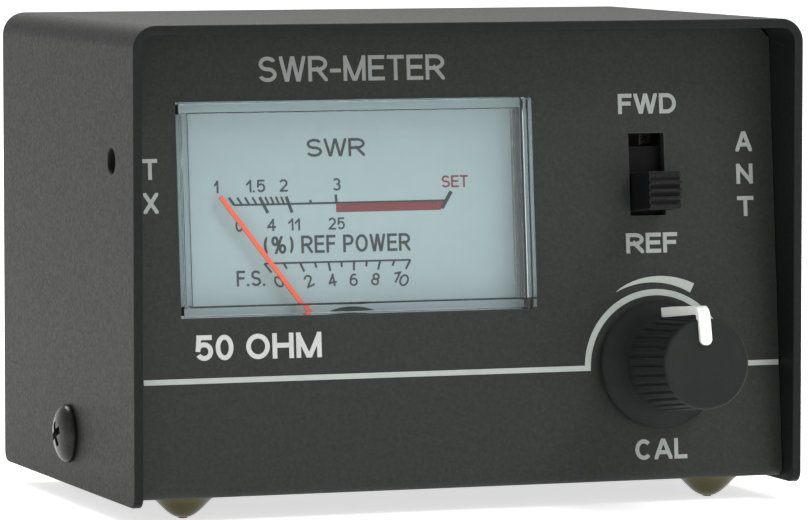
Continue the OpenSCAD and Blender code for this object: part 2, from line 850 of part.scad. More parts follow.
// The square flange and the collar behind it that sits in the back panel's hole
module socket_flange(side) {
    color([0.76, 0.76, 0.74]) at_socket(side) difference() {
        union() {
            intersection() {
                block(-12.7, 12.7, -12.7, 12.7, 0, flange_t);
                rod(16.6, -1, flange_t + 1);
            }
            rod(6.9, -2.4, 0.5);
        }
        rod(4.6, -4, flange_t + 1);
        screw_places() rod(m3_hole, -1, flange_t + 1);
    }
}

// The barrel that takes the plug's coupling ring, with notches round its mouth
module socket_barrel(side) {
    end = flange_t + barrel_length;
    color([0.76, 0.76, 0.74]) at_socket(side) difference() {
        union() {
            rod(barrel_r, flange_t, end - 0.5);
            translate([0, 0, end - 0.5])
                cylinder(r1 = barrel_r, r2 = barrel_r - 0.5, h = 0.5);
        }
        rod(6, 4.8, end + 1);
        rod(4.6, 0, 5);
        for (i = [0:7]) rotate([0, 0, i * 45]) block(5, 9, -0.6, 0.6, end - 0.9, end + 1);
    }
}

module tx_socket_flange() {
    socket_flange(-1);
}

module tx_socket_barrel() {
    socket_barrel(-1);
}

module ant_socket_flange() {
    socket_flange(1);
}

module ant_socket_barrel() {
    socket_barrel(1);
}

module socket_insulators() {
    color([0.90, 0.88, 0.82]) for (side = [-1, 1]) at_socket(side) difference() {
        union() {
            rod(4.58, -3.4, 4.9);
            rod(5.97, 4.8, 6.6);
        }
        rod(2.92, -5, 8);
    }
}

module socket_contact(side) {
    color([0.82, 0.68, 0.36]) at_socket(side) difference() {
        union() {
            rod(2.9, -3.5, 8.3);
            rod(3.7, -4.3, -3.42);
            rod(2, -13, -4);
        }
        rod(contact_bore, 0.3, 9);
        block(-4, 4, -0.25, 0.25, 4.3, 9);
        block(-0.25, 0.25, -4, 4, 4.3, 9);
        rod(1.2, -14, -10);
    }
}

module tx_socket_contact() {
    socket_contact(-1);
}

module ant_socket_contact() {
    socket_contact(1);
}

module socket_screws() {
    color([0.78, 0.78, 0.76]) for (side = [-1, 1]) at_socket(side) screw_places()
        translate([0, 0, flange_t]) pan_screw(m3_head_r, m3_head_h, m3_r, 6.8);
}

module ground_lugs() {
    color([0.80, 0.80, 0.76]) for (side = [-1, 1]) at_socket(side)
        translate([-side * screw_grid, screw_grid, 0]) difference() {
            union() {
                rod(2.9, -1.5, -1);
                translate([-side * 5, 0, -1.25]) cube([6, 2.4, 0.5], center = true);
                translate([-side * 7.75, 0, -3]) cube([0.5, 2.4, 4], center = true);
            }
            rod(1.55, -3, 0);
        }
}

// ---------- circuit board ----------

module circuit_board() {
    color([0.50, 0.34, 0.16]) difference() {
        block(-board_w / 2, board_w / 2, board_y0, board_y1,
            socket_z - board_h / 2, socket_z + board_h / 2);
        for (side = [-1, 1]) at_socket(side) rod(2.15, -14, -9);
        for (step = [-1, 1]) at_board(0, step * board_step) rod(m3_hole, -3, 1);
    }
}

// Where the parts stand on the board
module diode_places() {
    for (side = [-1, 1]) at_board(side * 10, 6.6) children();
}

module flat_resistor_places() {
    for (side = [-1, 1]) at_board(side * 11, -6.8) children();
}

module upright_resistor_places() {
    for (side = [-1, 1]) at_board(side * 28.5, 5.5) rotate([0, 0, 90]) children();
}

module capacitor_places() {
    for (side = [-1, 1]) at_board(side * 20, -7) children();
    at_board(12, 11) children();
}

// The two copper pads under a part's leads
module pads(pitch) {
    for (side = [-1, 1]) translate([side * pitch / 2, 0, 0]) rod(0.8, 0, track_t);
}

module board_tracks() {
    color([0.80, 0.50, 0.28]) {
        at_board(0, 0) block(-18.2, 18.2, -1.5, 1.5, 0, track_t);
        for (side = [-1, 1]) {
            at_board(0, 0) block(-14, 14, side * 3.2 - 0.6, side * 3.2 + 0.6, 0, track_t);
            at_board(side * socket_x, 0) tube(3.7, 2.15, 0, track_t);
            at_board(side * 24, low_track) block(-6, 6, -2, 2, 0, track_t);
            at_board(side * 22, high_track) block(-8, 8, -2, 2, 0, track_t);
        }
        diode_places() pads(diode_pitch);
        flat_resistor_places() pads(resistor_pitch);
        upright_resistor_places() pads(resistor_pitch);
        capacitor_places() pads(capacitor_pitch);
    }
}

module diodes() {
    color([0.85, 0.50, 0.25]) diode_places() axial(0.9, 3.8, diode_pitch, 1.3);
}

module resistors() {
    color([0.78, 0.66, 0.45]) {
        flat_resistor_places() axial(1.1, 6, resistor_pitch, 1.5);
        upright_resistor_places() axial(1.1, 6, resistor_pitch, 1.5);
    }
}

module capacitors() {
    color([0.75, 0.45, 0.20]) capacitor_places() {
        translate([0, 0, 3.4]) rotate([90, 0, 0]) cylinder(r = 2.4, h = 1.3, center = true);
        for (side = [-1, 1]) translate([side * capacitor_pitch / 2, 0, 0])
            block(-0.25, 0.25, -0.25, 0.25, track_t, 2.5);
    }
}

module board_standoffs() {
    color([0.78, 0.64, 0.32]) for (step = [-1, 1])
        translate([0, board_y1, socket_z + step * board_step]) rotate([-90, 0, 0])
            nut(m3_nut, 1.5, 0, board_gap);
}

module board_screws() {
    color([0.78, 0.78, 0.76]) for (step = [-1, 1]) {
        translate([0, rear_y, socket_z + step * board_step]) rotate([-90, 0, 0])
            pan_screw(m3_head_r, m3_head_h, m3_r, 5);
        at_board(0, step * board_step) pan_screw(m3_head_r, m3_head_h, m3_r, 5.5);
    }
}

module solder_joints() {
    color([0.72, 0.73, 0.74]) for (side = [-1, 1]) at_socket(side) difference() {
        translate([0, 0, -13]) cylinder(r1 = 2.3, r2 = 3.4, h = 0.92);
        rod(2.01, -15, -10);
    }
}

// ---------- hook-up wires ----------

module red_wires() {
    color([0.65, 0.08, 0.06]) {
        wire([
            panel_point(meter_x - stud_x, stud_s, base_out - 3),
            panel_point(meter_x - stud_x, stud_s, base_out - 6),
            [-30, board_y0 - 6, 16],
            [-27, board_y0 - 2, socket_z + low_track],
            [-27, track_y, socket_z + low_track]
        ], wire_r);
        wire([
            panel_point(switch_x - contact_x, switch_s + contact_step, -13.5),
            panel_point(switch_x - contact_x, switch_s + contact_step, -16.5),
            [20, board_y0 - 8, socket_z + 14],
            [20, board_y0 - 2.5, socket_z + high_track],
            [20, track_y, socket_z + high_track]
        ], wire_r);
    }
}

module black_wires() {
    color([0.05, 0.05, 0.05]) {
        wire([
            panel_point(meter_x + stud_x, stud_s, base_out - 3),
            panel_point(meter_x + stud_x, stud_s, base_out - 6),
            [14, board_y0 - 7, 14],
            [22, board_y0 - 2.5, socket_z + low_track],
            [22, track_y, socket_z + low_track]
        ], wire_r);
        wire([
            panel_point(knob_x + pot_lug_x, knob_s - pot_lug_step, -9.5),
            panel_point(knob_x + pot_lug_x, knob_s - pot_lug_step, -13),
            [36, board_y0 - 9, 12],
            [28, board_y0 - 3, socket_z + low_track],
            [28, track_y, socket_z + low_track]
        ], wire_r);
    }
}

module yellow_wires() {
    color([0.85, 0.68, 0.12]) {
        wire([
            panel_point(switch_x + contact_x, switch_s, -13.5),
            panel_point(switch_x + contact_x, switch_s, -17),
            [30, board_y0 - 7, socket_z + 10],
            [26, board_y0 - 2.5, socket_z + high_track],
            [26, track_y, socket_z + high_track]
        ], wire_r);
        wire([
            panel_point(knob_x + pot_lug_x, knob_s + pot_lug_step, -9.5),
            panel_point(knob_x + pot_lug_x, knob_s + pot_lug_step, -13),
            [39, board_y0 - 14, 30],
            panel_point(switch_x + 4.4, switch_s - contact_step, -20),
            panel_point(switch_x + contact_x, switch_s - contact_step, -16.5),
            panel_point(switch_x + contact_x, switch_s - contact_step, -13.5)
        ], wire_r);
    }
}

front_panel();
chassis_floor();
rear_panel();
cover();
cover_screws();
machine_nuts();
feet();
meter_window();
meter_gasket();
dial_plate();
dial_screws();
meter_base();
meter_yoke();
meter_magnet();
movement_posts();
movement_bridges();
movement_screws();
hairsprings();
moving_coil();
needle_staff();
needle();
needle_weights();
meter_terminals();
meter_bracket();
bracket_screw();
switch_frame();
switch_base();
switch_terminals();
switch_handle();
switch_sliders();
pot_can();
pot_bushing();
pot_wafer();
pot_terminals();
pot_nut();
pot_washer();
pot_shaft();
pot_wiper();
cal_knob();
knob_pointer();
tx_socket_flange();
tx_socket_barrel();
ant_socket_flange();
ant_socket_barrel();
socket_insulators();
tx_socket_contact();
ant_socket_contact();
socket_screws();
ground_lugs();
circuit_board();
board_tracks();
diodes();
resistors();
capacitors();
board_standoffs();
board_screws();
solder_joints();
red_wires();
black_wires();
yellow_wires();
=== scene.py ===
"""Looks of the SWR meter: finishes for every CAD node, and the pieces with finer shapes than the CAD holds.

The panel has its own frame, in millimetres: x to the right, s up the slope from the panel's bottom edge,
and out straight away from its face. The matrix PANEL turns its places, in metres, into the shared frame's.
"""

import math

import bmesh
import bpy
from mathutils import Matrix, Vector
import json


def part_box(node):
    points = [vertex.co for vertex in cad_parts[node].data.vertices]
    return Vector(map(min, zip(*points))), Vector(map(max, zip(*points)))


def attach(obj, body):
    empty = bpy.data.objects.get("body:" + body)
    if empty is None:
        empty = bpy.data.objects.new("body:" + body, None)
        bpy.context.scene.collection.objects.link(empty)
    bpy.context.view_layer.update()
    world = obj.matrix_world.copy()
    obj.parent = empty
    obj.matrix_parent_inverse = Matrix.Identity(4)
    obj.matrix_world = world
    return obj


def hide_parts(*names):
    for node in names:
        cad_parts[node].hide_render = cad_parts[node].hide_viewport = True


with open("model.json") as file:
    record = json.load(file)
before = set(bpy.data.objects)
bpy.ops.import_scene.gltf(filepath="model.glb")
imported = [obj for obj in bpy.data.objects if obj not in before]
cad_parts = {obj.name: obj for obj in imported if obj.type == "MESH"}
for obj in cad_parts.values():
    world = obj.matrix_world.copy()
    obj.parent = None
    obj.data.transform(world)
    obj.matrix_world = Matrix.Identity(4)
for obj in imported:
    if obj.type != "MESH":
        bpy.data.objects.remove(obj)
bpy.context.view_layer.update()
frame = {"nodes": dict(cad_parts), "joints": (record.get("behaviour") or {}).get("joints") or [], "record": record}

MM = 0.001
CASE = "case"
JOINTS = {joint["name"]: joint for joint in frame["joints"]}
SLOT_OF = {part["node"]: part["material_slot"] for part in frame["record"]["subparts"]}

# The panel's frame, from the joints: the knob turns about the panel's normal, and the switch slides up its
# slope. KNOB_X and KNOB_S are the knob's middle in that frame.
ACROSS = Vector((1, 0, 0))
UP_SLOPE = Vector(JOINTS["fwd_ref_slide"]["axis"]).normalized()
OUTWARD = -Vector(JOINTS["cal_knob_turn"]["axis"]).normalized()
KNOB_X, KNOB_S = 26.7, 15.0
PANEL_ORIGIN = (
    Vector(JOINTS["cal_knob_turn"]["pos_m"]) - ACROSS * KNOB_X * MM - UP_SLOPE * KNOB_S * MM
)
PANEL = Matrix((ACROSS, UP_SLOPE, OUTWARD)).transposed().to_4x4()
PANEL.translation = PANEL_ORIGIN
MILLIMETRES = Matrix.Scale(MM, 4)


# ---------- camera, lights and floor ----------


def aim(thing, place, target):
    """Puts a camera or light at place, looking at target."""
    thing.location = place
    thing.rotation_mode = "QUATERNION"
    thing.rotation_quaternion = (Vector(target) - Vector(place)).to_track_quat("-Z", "Y")


# The camera's lens and sensor in millimetres, its angles to the right of straight back and upwards in
# degrees, and its place in millimetres from the foot of the cover's front edge
LENS, SENSOR = 247.9, 36
CAMERA_YAW, CAMERA_PITCH = 19.64, -4.22
CAMERA_PLACE = (-243.99, -656.91, 81.66)


def add_camera():
    """A long lens from the front left, a little above the meter."""
    low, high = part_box("cover")
    front_foot = Vector(((low.x + high.x) / 2, low.y, low.z))
    data = bpy.data.cameras.new("camera")
    data.lens = LENS
    data.sensor_width = SENSOR
    data.clip_start = 0.01
    data.clip_end = 20
    camera = bpy.data.objects.new("camera", data)
    bpy.context.scene.collection.objects.link(camera)
    yaw, pitch = math.radians(CAMERA_YAW), math.radians(CAMERA_PITCH)
    forward = Vector(
        (math.sin(yaw) * math.cos(pitch), math.cos(yaw) * math.cos(pitch), math.sin(pitch))
    )
    place = front_foot + Vector(CAMERA_PLACE) * MM
    aim(camera, place, place + forward)
    bpy.context.scene.camera = camera


# Softboxes, each as (name, place, target, width, height, watts, colour)
LIGHTS = [
    ("key", (0.5, -0.6, 0.95), (0, 0, 0.03), 0.55, 0.55, 7, (1, 1, 1)),
    ("left_fill", (-0.9, -0.15, 0.3), (0, 0, 0.03), 0.5, 0.5, 0.3, (1, 1, 1)),
    ("top", (0.0, 0.6, 0.8), (0, 0, 0.05), 0.8, 0.5, 9, (1.0, 0.98, 0.88)),
]


def add_light(name, place, target, width, height, watts, colour):
    """A softbox that lights the object and isn't seen itself."""
    data = bpy.data.lights.new(name, "AREA")
    data.shape = "RECTANGLE"
    data.size = width
    data.size_y = height
    data.energy = watts
    data.color = colour
    light = bpy.data.objects.new(name, data)
    bpy.context.scene.collection.objects.link(light)
    aim(light, place, target)
    light.visible_camera = False


def add_world():
    """A plain white room, brighter at the horizon than overhead."""
    world = bpy.data.worlds.new("studio")
    world.use_nodes = True
    bpy.context.scene.world = world
    tree = world.node_tree
    background = tree.nodes["Background"]
    background.inputs["Color"].default_value = (1, 1, 1, 1)
    direction = add_node(tree, "TexCoord").outputs["Generated"]
    height = add_node(tree, "SeparateXYZ", Vector=direction).outputs["Z"]
    strength = add_node(
        tree, "MapRange", Value=height, From_Min=0.03, From_Max=0.4, To_Min=1.1, To_Max=0.55
    )
    tree.links.new(strength.outputs[0], background.inputs["Strength"])


def add_stage():
    """The pale floor that the meter stands on."""
    half = 6.0
    mesh = bpy.data.meshes.new("floor")
    corners = [(-half, -half, 0), (half, -half, 0), (half, half, 0), (-half, half, 0)]
    mesh.from_pydata(corners, [], [(0, 1, 2, 3)])
    floor = bpy.data.objects.new("floor", mesh)
    bpy.context.scene.collection.objects.link(floor)
    lit = {"Emission Color": (1, 1, 1, 1), "Emission Strength": 0.65}
    white = surface("floor_white", (0.86, 0.86, 0.86), 0.7, mottle=0.01, mottle_mm=40, shader=lit)
    mesh.materials.append(white)


# ---------- materials ----------


def add_node(tree, kind, settings=None, **inputs):
    """A shader node with its settings, and its inputs set to values or joined to other nodes' outputs."""
    node = tree.nodes.new("ShaderNode" + kind)
    for key, value in (settings or {}).items():
        setattr(node, key, value)
    for key, value in inputs.items():
        socket = node.inputs[key.replace("_", " ")]
        if isinstance(value, bpy.types.NodeSocket):
            tree.links.new(value, socket)
        else:
            socket.default_value = value
    return node


def mix_colours(tree, share, first, second):
    """The output of a node that goes from the first colour to the second as share goes from 0 to 1."""
    node = tree.nodes.new("ShaderNodeMix")
    node.data_type = "RGBA"
    sockets = (node.inputs[0], node.inputs[6], node.inputs[7])
    for socket, value in zip(sockets, (share, first, second)):
        if isinstance(value, bpy.types.NodeSocket):
            tree.links.new(value, socket)
        else:
            socket.default_value = (*value, 1) if isinstance(value, tuple) else value
    return node.outputs[2]


def scaled(colour, factor):
    """A colour made lighter or darker."""
    return tuple(min(1.0, channel * factor) for channel in colour)


def surface(
    name,
    colour,
    rough,
    metal=0.0,
    mottle=0.1,
    mottle_mm=5.0,
    grain_mm=0.4,
    grain_um=0.0,
    rough_spread=0.06,
    streaks=None,
    worn=None,
    shader=None,
):
    """A procedural finish. mottle varies the colour over mottle_mm, grain_um is the height of a relief of
    grain_mm bumps, streaks stretches both along an axis as (x, y, z) factors, and the colour given for the
    edges shows along them, partly as wear and partly as a painted highlight. shader sets more of the
    shader's own inputs."""
    material = bpy.data.materials.new(name)
    material.use_nodes = True
    tree = material.node_tree
    bsdf = tree.nodes["Principled BSDF"]
    place = add_node(tree, "TexCoord").outputs["Object"]
    if streaks:
        place = add_node(tree, "Mapping", Vector=place, Scale=streaks).outputs[0]
    broad = add_node(tree, "TexNoise", Vector=place, Scale=1 / (mottle_mm * MM), Detail=5.0)
    fine = add_node(tree, "TexNoise", Vector=place, Scale=1 / (grain_mm * MM), Detail=3.0)
    share = add_node(
        tree, "MapRange", Value=broad.outputs["Fac"], From_Min=0.3, From_Max=0.7
    ).outputs[0]
    tone = mix_colours(tree, share, scaled(colour, 1 - mottle), scaled(colour, 1 + mottle))
    specks = add_node(
        tree, "MapRange", Value=fine.outputs["Fac"], From_Min=0.35, From_Max=0.65, To_Max=mottle
    ).outputs[0]
    tone = mix_colours(tree, specks, tone, scaled(colour, 0.4))
    # Edges turn towards a lighter colour: partly wear, partly a painted highlight along the edges
    if worn:
        corner = add_node(tree, "Bevel", {"samples": 4}, Radius=0.25 * MM)
        facing = add_node(tree, "NewGeometry")
        turn = add_node(tree, "VectorMath", {"operation": "DOT_PRODUCT"})
        tree.links.new(corner.outputs[0], turn.inputs[0])
        tree.links.new(facing.outputs["Normal"], turn.inputs[1])
        wear_and_highlight_mask = add_node(
            tree, "MapRange", Value=turn.outputs["Value"], From_Min=0.97, From_Max=0.80, To_Max=0.7
        )
        patchy = add_node(tree, "Math", {"operation": "MULTIPLY"})
        tree.links.new(wear_and_highlight_mask.outputs[0], patchy.inputs[0])
        tree.links.new(fine.outputs["Fac"], patchy.inputs[1])
        tone = mix_colours(tree, patchy.outputs[0], tone, worn)
    tree.links.new(tone, bsdf.inputs["Base Color"])
    gloss = add_node(
        tree,
        "MapRange",
        Value=fine.outputs["Fac"],
        From_Min=0.3,
        From_Max=0.7,
        To_Min=max(0.02, rough - rough_spread),
        To_Max=min(1.0, rough + rough_spread),
    )
    tree.links.new(gloss.outputs[0], bsdf.inputs["Roughness"])
    bsdf.inputs["Metallic"].default_value = metal
    if grain_um:
        relief = add_node(
            tree, "Bump", Strength=1.0, Distance=grain_um * 1e-6, Height=fine.outputs["Fac"]
        )
        tree.links.new(relief.outputs[0], bsdf.inputs["Normal"])
    for key, value in (shader or {}).items():
        bsdf.inputs[key].default_value = value
    return material


def clear_plastic():
    """Polished acrylic that lets the lamps through to what is behind it."""
    material = surface(
        "clear_plastic",
        (0.90, 0.95, 0.96),
        0.04,
        mottle=0.01,
        grain_mm=3.0,
        grain_um=2.0,
        rough_spread=0.02,
        shader={"Transmission Weight": 1.0, "IOR": 1.42},
    )
    tree = material.node_tree
    output = tree.nodes["Material Output"]
    rays = add_node(tree, "LightPath")
    lamps = add_node(tree, "Math", {"operation": "MAXIMUM"})
    tree.links.new(rays.outputs["Is Shadow Ray"], lamps.inputs[0])
    tree.links.new(rays.outputs["Is Diffuse Ray"], lamps.inputs[1])
    clear = add_node(tree, "BsdfTransparent", Color=(0.93, 0.96, 0.96, 1))
    either = add_node(tree, "MixShader")
    tree.links.new(lamps.outputs[0], either.inputs[0])
    tree.links.new(tree.nodes["Principled BSDF"].outputs[0], either.inputs[1])
    tree.links.new(clear.outputs[0], either.inputs[2])
    tree.links.new(either.outputs[0], output.inputs["Surface"])
    return material


def metal(name, colour, rough, along=(1, 1, 1), **more):
    """A machined or plated metal, with fine marks along one axis."""
    values = dict(
        metal=1.0, mottle=0.06, mottle_mm=2.0, grain_mm=0.25, grain_um=1.5, streaks=along
    )
    values.update(more)
    return surface(name, colour, rough, **values)


def plastic(name, colour, rough, **more):
    """A moulded plastic with a fine skin."""
    values = dict(mottle=0.05, mottle_mm=3.0, grain_mm=0.18, grain_um=4.0)
    values.update(more)
    return surface(name, colour, rough, **values)


# Fine marks drawn out along x, and along y
ACROSS_MARKS = (0.15, 1, 1)
ROUND_MARKS = (1, 0.3, 1)

# The edge colours of the panel's and cover's paint, of the black plastic and of the knob are partly wear and
# partly a painted highlight along the edges
FINISHES = {
    "panel_paint": lambda: surface(
        "panel_paint", (0.018, 0.021, 0.019), 0.6, mottle=0.2, mottle_mm=0.5, grain_mm=0.33,
        grain_um=26, worn=(0.12, 0.13, 0.12), shader={"Specular IOR Level": 0.3},
    ),
    "cover_paint": lambda: surface(
        "cover_paint", (0.012, 0.013, 0.013), 0.5, mottle=0.14, mottle_mm=0.6, grain_mm=0.4,
        grain_um=20, worn=(0.10, 0.10, 0.10), shader={"IOR": 1.19},
    ),
    "black_steel": lambda: plastic(
        "black_steel", (0.012, 0.013, 0.011), 0.24, mottle=0.2, grain_um=3.0, shader={"IOR": 1.3}
    ),
    "zinc_steel": lambda: metal("zinc_steel", (0.44, 0.45, 0.43), 0.34, ACROSS_MARKS),
    "amber_rubber": lambda: plastic(
        "amber_rubber", (0.055, 0.047, 0.004), 0.18, mottle=0.06, grain_um=1.5,
        shader={"Transmission Weight": 0.15, "IOR": 1.36},
    ),
    "clear_plastic": clear_plastic,
    "black_foam": lambda: surface(
        "black_foam", (0.02, 0.02, 0.02), 0.95, mottle=0.3, mottle_mm=0.8, grain_mm=0.5, grain_um=120
    ),
    "dial_paint": lambda: surface(
        "dial_paint", (0.37, 0.44, 0.455), 0.5, mottle=0.02, mottle_mm=1.5, grain_mm=0.12, grain_um=2
    ),
    # On the black plastic the light edge colour paints the highlight lines along the switch handle's ribs, as well
    # as wear
    "black_plastic": lambda: plastic(
        "black_plastic", (0.006, 0.006, 0.007), 0.5, worn=(0.22, 0.22, 0.22), shader={"IOR": 1.2}
    ),
    "soft_iron": lambda: metal("soft_iron", (0.38, 0.37, 0.36), 0.42, ROUND_MARKS),
    "magnet": lambda: metal("magnet", (0.20, 0.20, 0.21), 0.38, grain_um=4.0),
    "brass": lambda: metal("brass", (0.72, 0.52, 0.22), 0.26, ROUND_MARKS),
    "aluminium": lambda: metal("aluminium", (0.72, 0.72, 0.72), 0.30, ROUND_MARKS),
    "bronze": lambda: metal("bronze", (0.62, 0.40, 0.18), 0.30, ACROSS_MARKS),
    "coil_copper": lambda: metal("coil_copper", (0.70, 0.32, 0.14), 0.30, (1, 1, 14), grain_um=6.0),
    "bright_steel": lambda: metal("bright_steel", (0.68, 0.68, 0.70), 0.16),
    "needle_paint": lambda: surface(
        "needle_paint", (1.0, 0.10, 0.035), 0.4, mottle=0.05, mottle_mm=1.0, grain_mm=0.1, grain_um=2
    ),
    "brown_laminate": lambda: surface(
        "brown_laminate", (0.05, 0.027, 0.014), 0.45, mottle=0.25, mottle_mm=0.9, grain_mm=0.2,
        grain_um=5, streaks=(0.25, 1, 1),
    ),
    "tinned_brass": lambda: metal("tinned_brass", (0.70, 0.69, 0.64), 0.30),
    "zinc_cast": lambda: metal("zinc_cast", (0.50, 0.51, 0.51), 0.42, grain_um=6.0),
    "knob_plastic": lambda: plastic(
        "knob_plastic", (0.012, 0.014, 0.013), 0.6, mottle=0.15, grain_mm=0.25, grain_um=12,
        worn=(0.10, 0.10, 0.10), shader={"Specular IOR Level": 0.2},
    ),
    "pointer_plastic": lambda: plastic("pointer_plastic", (0.93, 0.94, 0.89), 0.35, mottle=0.01),
    "nickel_plate": lambda: metal("nickel_plate", (0.42, 0.41, 0.375), 0.22, ROUND_MARKS),
    "white_plastic": lambda: plastic("white_plastic", (0.80, 0.78, 0.70), 0.40, mottle=0.02),
    "board_laminate": lambda: surface(
        "board_laminate", (0.27, 0.16, 0.06), 0.45, mottle=0.14, mottle_mm=0.6, grain_mm=0.25,
        grain_um=4, streaks=(1, 1, 0.3),
    ),
    "glass_diode": lambda: plastic(
        "glass_diode", (0.75, 0.28, 0.08), 0.08, shader={"Transmission Weight": 0.5, "IOR": 1.5}
    ),
    "resistor_body": lambda: plastic("resistor_body", (0.60, 0.42, 0.20), 0.35, mottle=0.08),
    "capacitor_body": lambda: plastic("capacitor_body", (0.62, 0.22, 0.05), 0.40, mottle=0.10),
    "solder": lambda: metal("solder", (0.60, 0.61, 0.62), 0.24, grain_um=5.0),
    "red_sleeving": lambda: plastic("red_sleeving", (0.45, 0.02, 0.015), 0.38),
    "black_sleeving": lambda: plastic("black_sleeving", (0.015, 0.015, 0.015), 0.38),
    "yellow_sleeving": lambda: plastic("yellow_sleeving", (0.75, 0.48, 0.03), 0.38),
}
finishes = {slot: make() for slot, make in FINISHES.items()}


def panel_ink(name, colour):
    """Screen-printed paint that takes on a little of the panel's texture."""
    return plastic(name, colour, 0.5, mottle=0.06, grain_mm=0.3, grain_um=8)


def dial_ink(name, colour):
    """Thin ink on the smooth dial."""
    return plastic(name, colour, 0.5, mottle=0.1, grain_um=1)


inks = {
    "bright": panel_ink("bright_ink", (0.48, 0.50, 0.48)),
    "line": panel_ink("line_ink", (0.37, 0.41, 0.38)),
    "label": panel_ink("label_ink", (0.29, 0.32, 0.30)),
    # The title's ink is darker than the labels' to paint the shade that the cover's overhang casts on the top of
    # the panel
    "title": panel_ink("title_ink_painted_shade", (0.23, 0.25, 0.245)),
    "dial": dial_ink("dial_ink", (0.014, 0.022, 0.022)),
    "red": dial_ink("dial_red_ink", (0.20, 0.020, 0.027)),
}


# ---------- mesh helpers ----------


def new_piece(name, source, material, body=CASE):
    """An object from a bmesh or mesh, with its finish, riding on a body."""
    if isinstance(source, bmesh.types.BMesh):
        bmesh.ops.recalc_face_normals(source, faces=source.faces)
        mesh = bpy.data.meshes.new(name)
        source.to_mesh(mesh)
        source.free()
    else:
        mesh = source
    mesh.name = name
    mesh.materials.clear()
    mesh.materials.append(material)
    piece = bpy.data.objects.new(name, mesh)
    bpy.context.scene.collection.objects.link(piece)
    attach(piece, body)
    return piece


def shade(piece, degrees=35):
    """Smooth shading, broken only at edges sharper than the angle."""
    piece.data.polygons.foreach_set("use_smooth", [True] * len(piece.data.polygons))
    piece.data.set_sharp_from_angle(angle=math.radians(degrees))


def on_circle(radius, angle, height):
    """A point round the z axis, with the angle in radians."""
    return Vector((radius * math.cos(angle), radius * math.sin(angle), height))


def join_rings(bm, lower, upper):
    """Faces between two rings of vertices, of which either may be a single vertex."""
    count = max(len(lower), len(upper))
    for i in range(count):
        j = (i + 1) % count
        corners = [
            lower[i % len(lower)],
            lower[j % len(lower)],
            upper[j % len(upper)],
            upper[i % len(upper)],
        ]
        bm.faces.new(list(dict.fromkeys(corners)))


def lathe(bm, profile, segments, place):
    """Spins a profile of (radius, height) points round place's z axis. A radius of 0 closes an end."""
    rings = []
    for radius, height in profile:
        count = segments if radius > 1e-6 else 1
        angles = [math.tau * i / segments for i in range(count)]
        rings.append([bm.verts.new(place @ on_circle(radius, angle, height)) for angle in angles])
    for lower, upper in zip(rings, rings[1:]):
        join_rings(bm, lower, upper)


def prism(bm, outlines, place):
    """A closed solid between two outlines with as many points, each given as (outline, height)."""
    rings = [
        [bm.verts.new(place @ Vector((x, y, height))) for x, y in outline]
        for outline, height in outlines
    ]
    bm.faces.new(rings[0][::-1])
    bm.faces.new(rings[1])
    join_rings(bm, *rings)


def slab(bm, outline, low, high, place):
    """A flat piece with an outline of (x, y) points, between two heights of place's z axis."""
    prism(bm, [(outline, low), (outline, high)], place)


def strip(start, end, width):
    """The outline of a straight line of that width."""
    start, end = Vector(start), Vector(end)
    side = (end - start).normalized().orthogonal() * width / 2
    return [start + side, start - side, end - side, end + side]


def arc_points(centre, radius, start, end, steps):
    """Points on an arc. Angles are in degrees, and radius may be a function of the share of the way."""
    points = []
    for i in range(steps + 1):
        share = i / steps
        angle = math.radians(start + (end - start) * share)
        r = radius(share) if callable(radius) else radius
        points.append((centre[0] + r * math.cos(angle), centre[1] + r * math.sin(angle)))
    return points


def temporary(bm, name):
    """An object that holds a bmesh while a modifier works on it."""
    mesh = bpy.data.meshes.new(name)
    bm.to_mesh(mesh)
    bm.free()
    thing = bpy.data.objects.new(name, mesh)
    bpy.context.scene.collection.objects.link(thing)
    return thing


def exact_boolean(thing, operation, other):
    """Adds an exact boolean with another object to an object."""
    modifier = thing.modifiers.new("boolean", "BOOLEAN")
    modifier.operation = operation
    modifier.solver = "EXACT"
    modifier.object = other
    return modifier


def worked_out(thing, *others):
    """The bmesh that an object's modifiers give. Removes it and the objects that they used."""
    bpy.context.view_layer.update()
    shown = thing.evaluated_get(bpy.context.evaluated_depsgraph_get())
    result = bmesh.new()
    result.from_mesh(shown.data)
    for used in (thing, *others):
        data = used.data
        bpy.data.objects.remove(used)
        bpy.data.meshes.remove(data)
    return result


def fused(bm):
    """The union of a bmesh's overlapping closed shells."""
    bmesh.ops.recalc_face_normals(bm, faces=bm.faces)
    shells = temporary(bm, "shells")
    nothing = temporary(bmesh.new(), "nothing")
    union = exact_boolean(shells, "UNION", nothing)
    union.use_self = True
    return worked_out(shells, nothing)


def carved(bm, cutters):
    """A bmesh's welded solid with closed cutters, given as bmeshes, taken out of it."""
    bmesh.ops.remove_doubles(bm, verts=bm.verts, dist=1e-6)
    solid = temporary(bm, "solid")
    tools = []
    for cutter in cutters:
        bmesh.ops.recalc_face_normals(cutter, faces=cutter.faces)
        tool = temporary(cutter, "cutter")
        exact_boolean(solid, "DIFFERENCE", tool)
        tools.append(tool)
    result = worked_out(solid, *tools)
    bmesh.ops.dissolve_degenerate(result, edges=result.edges, dist=1e-7)
    return result


# ---------- lettering ----------

# How far ink stands out of the surface it is on, and how far it is let in, in millimetres
INK = 0.03
SUNK = 0.01
# Space between letters, as a share of their height
LETTER_GAP = 0.11
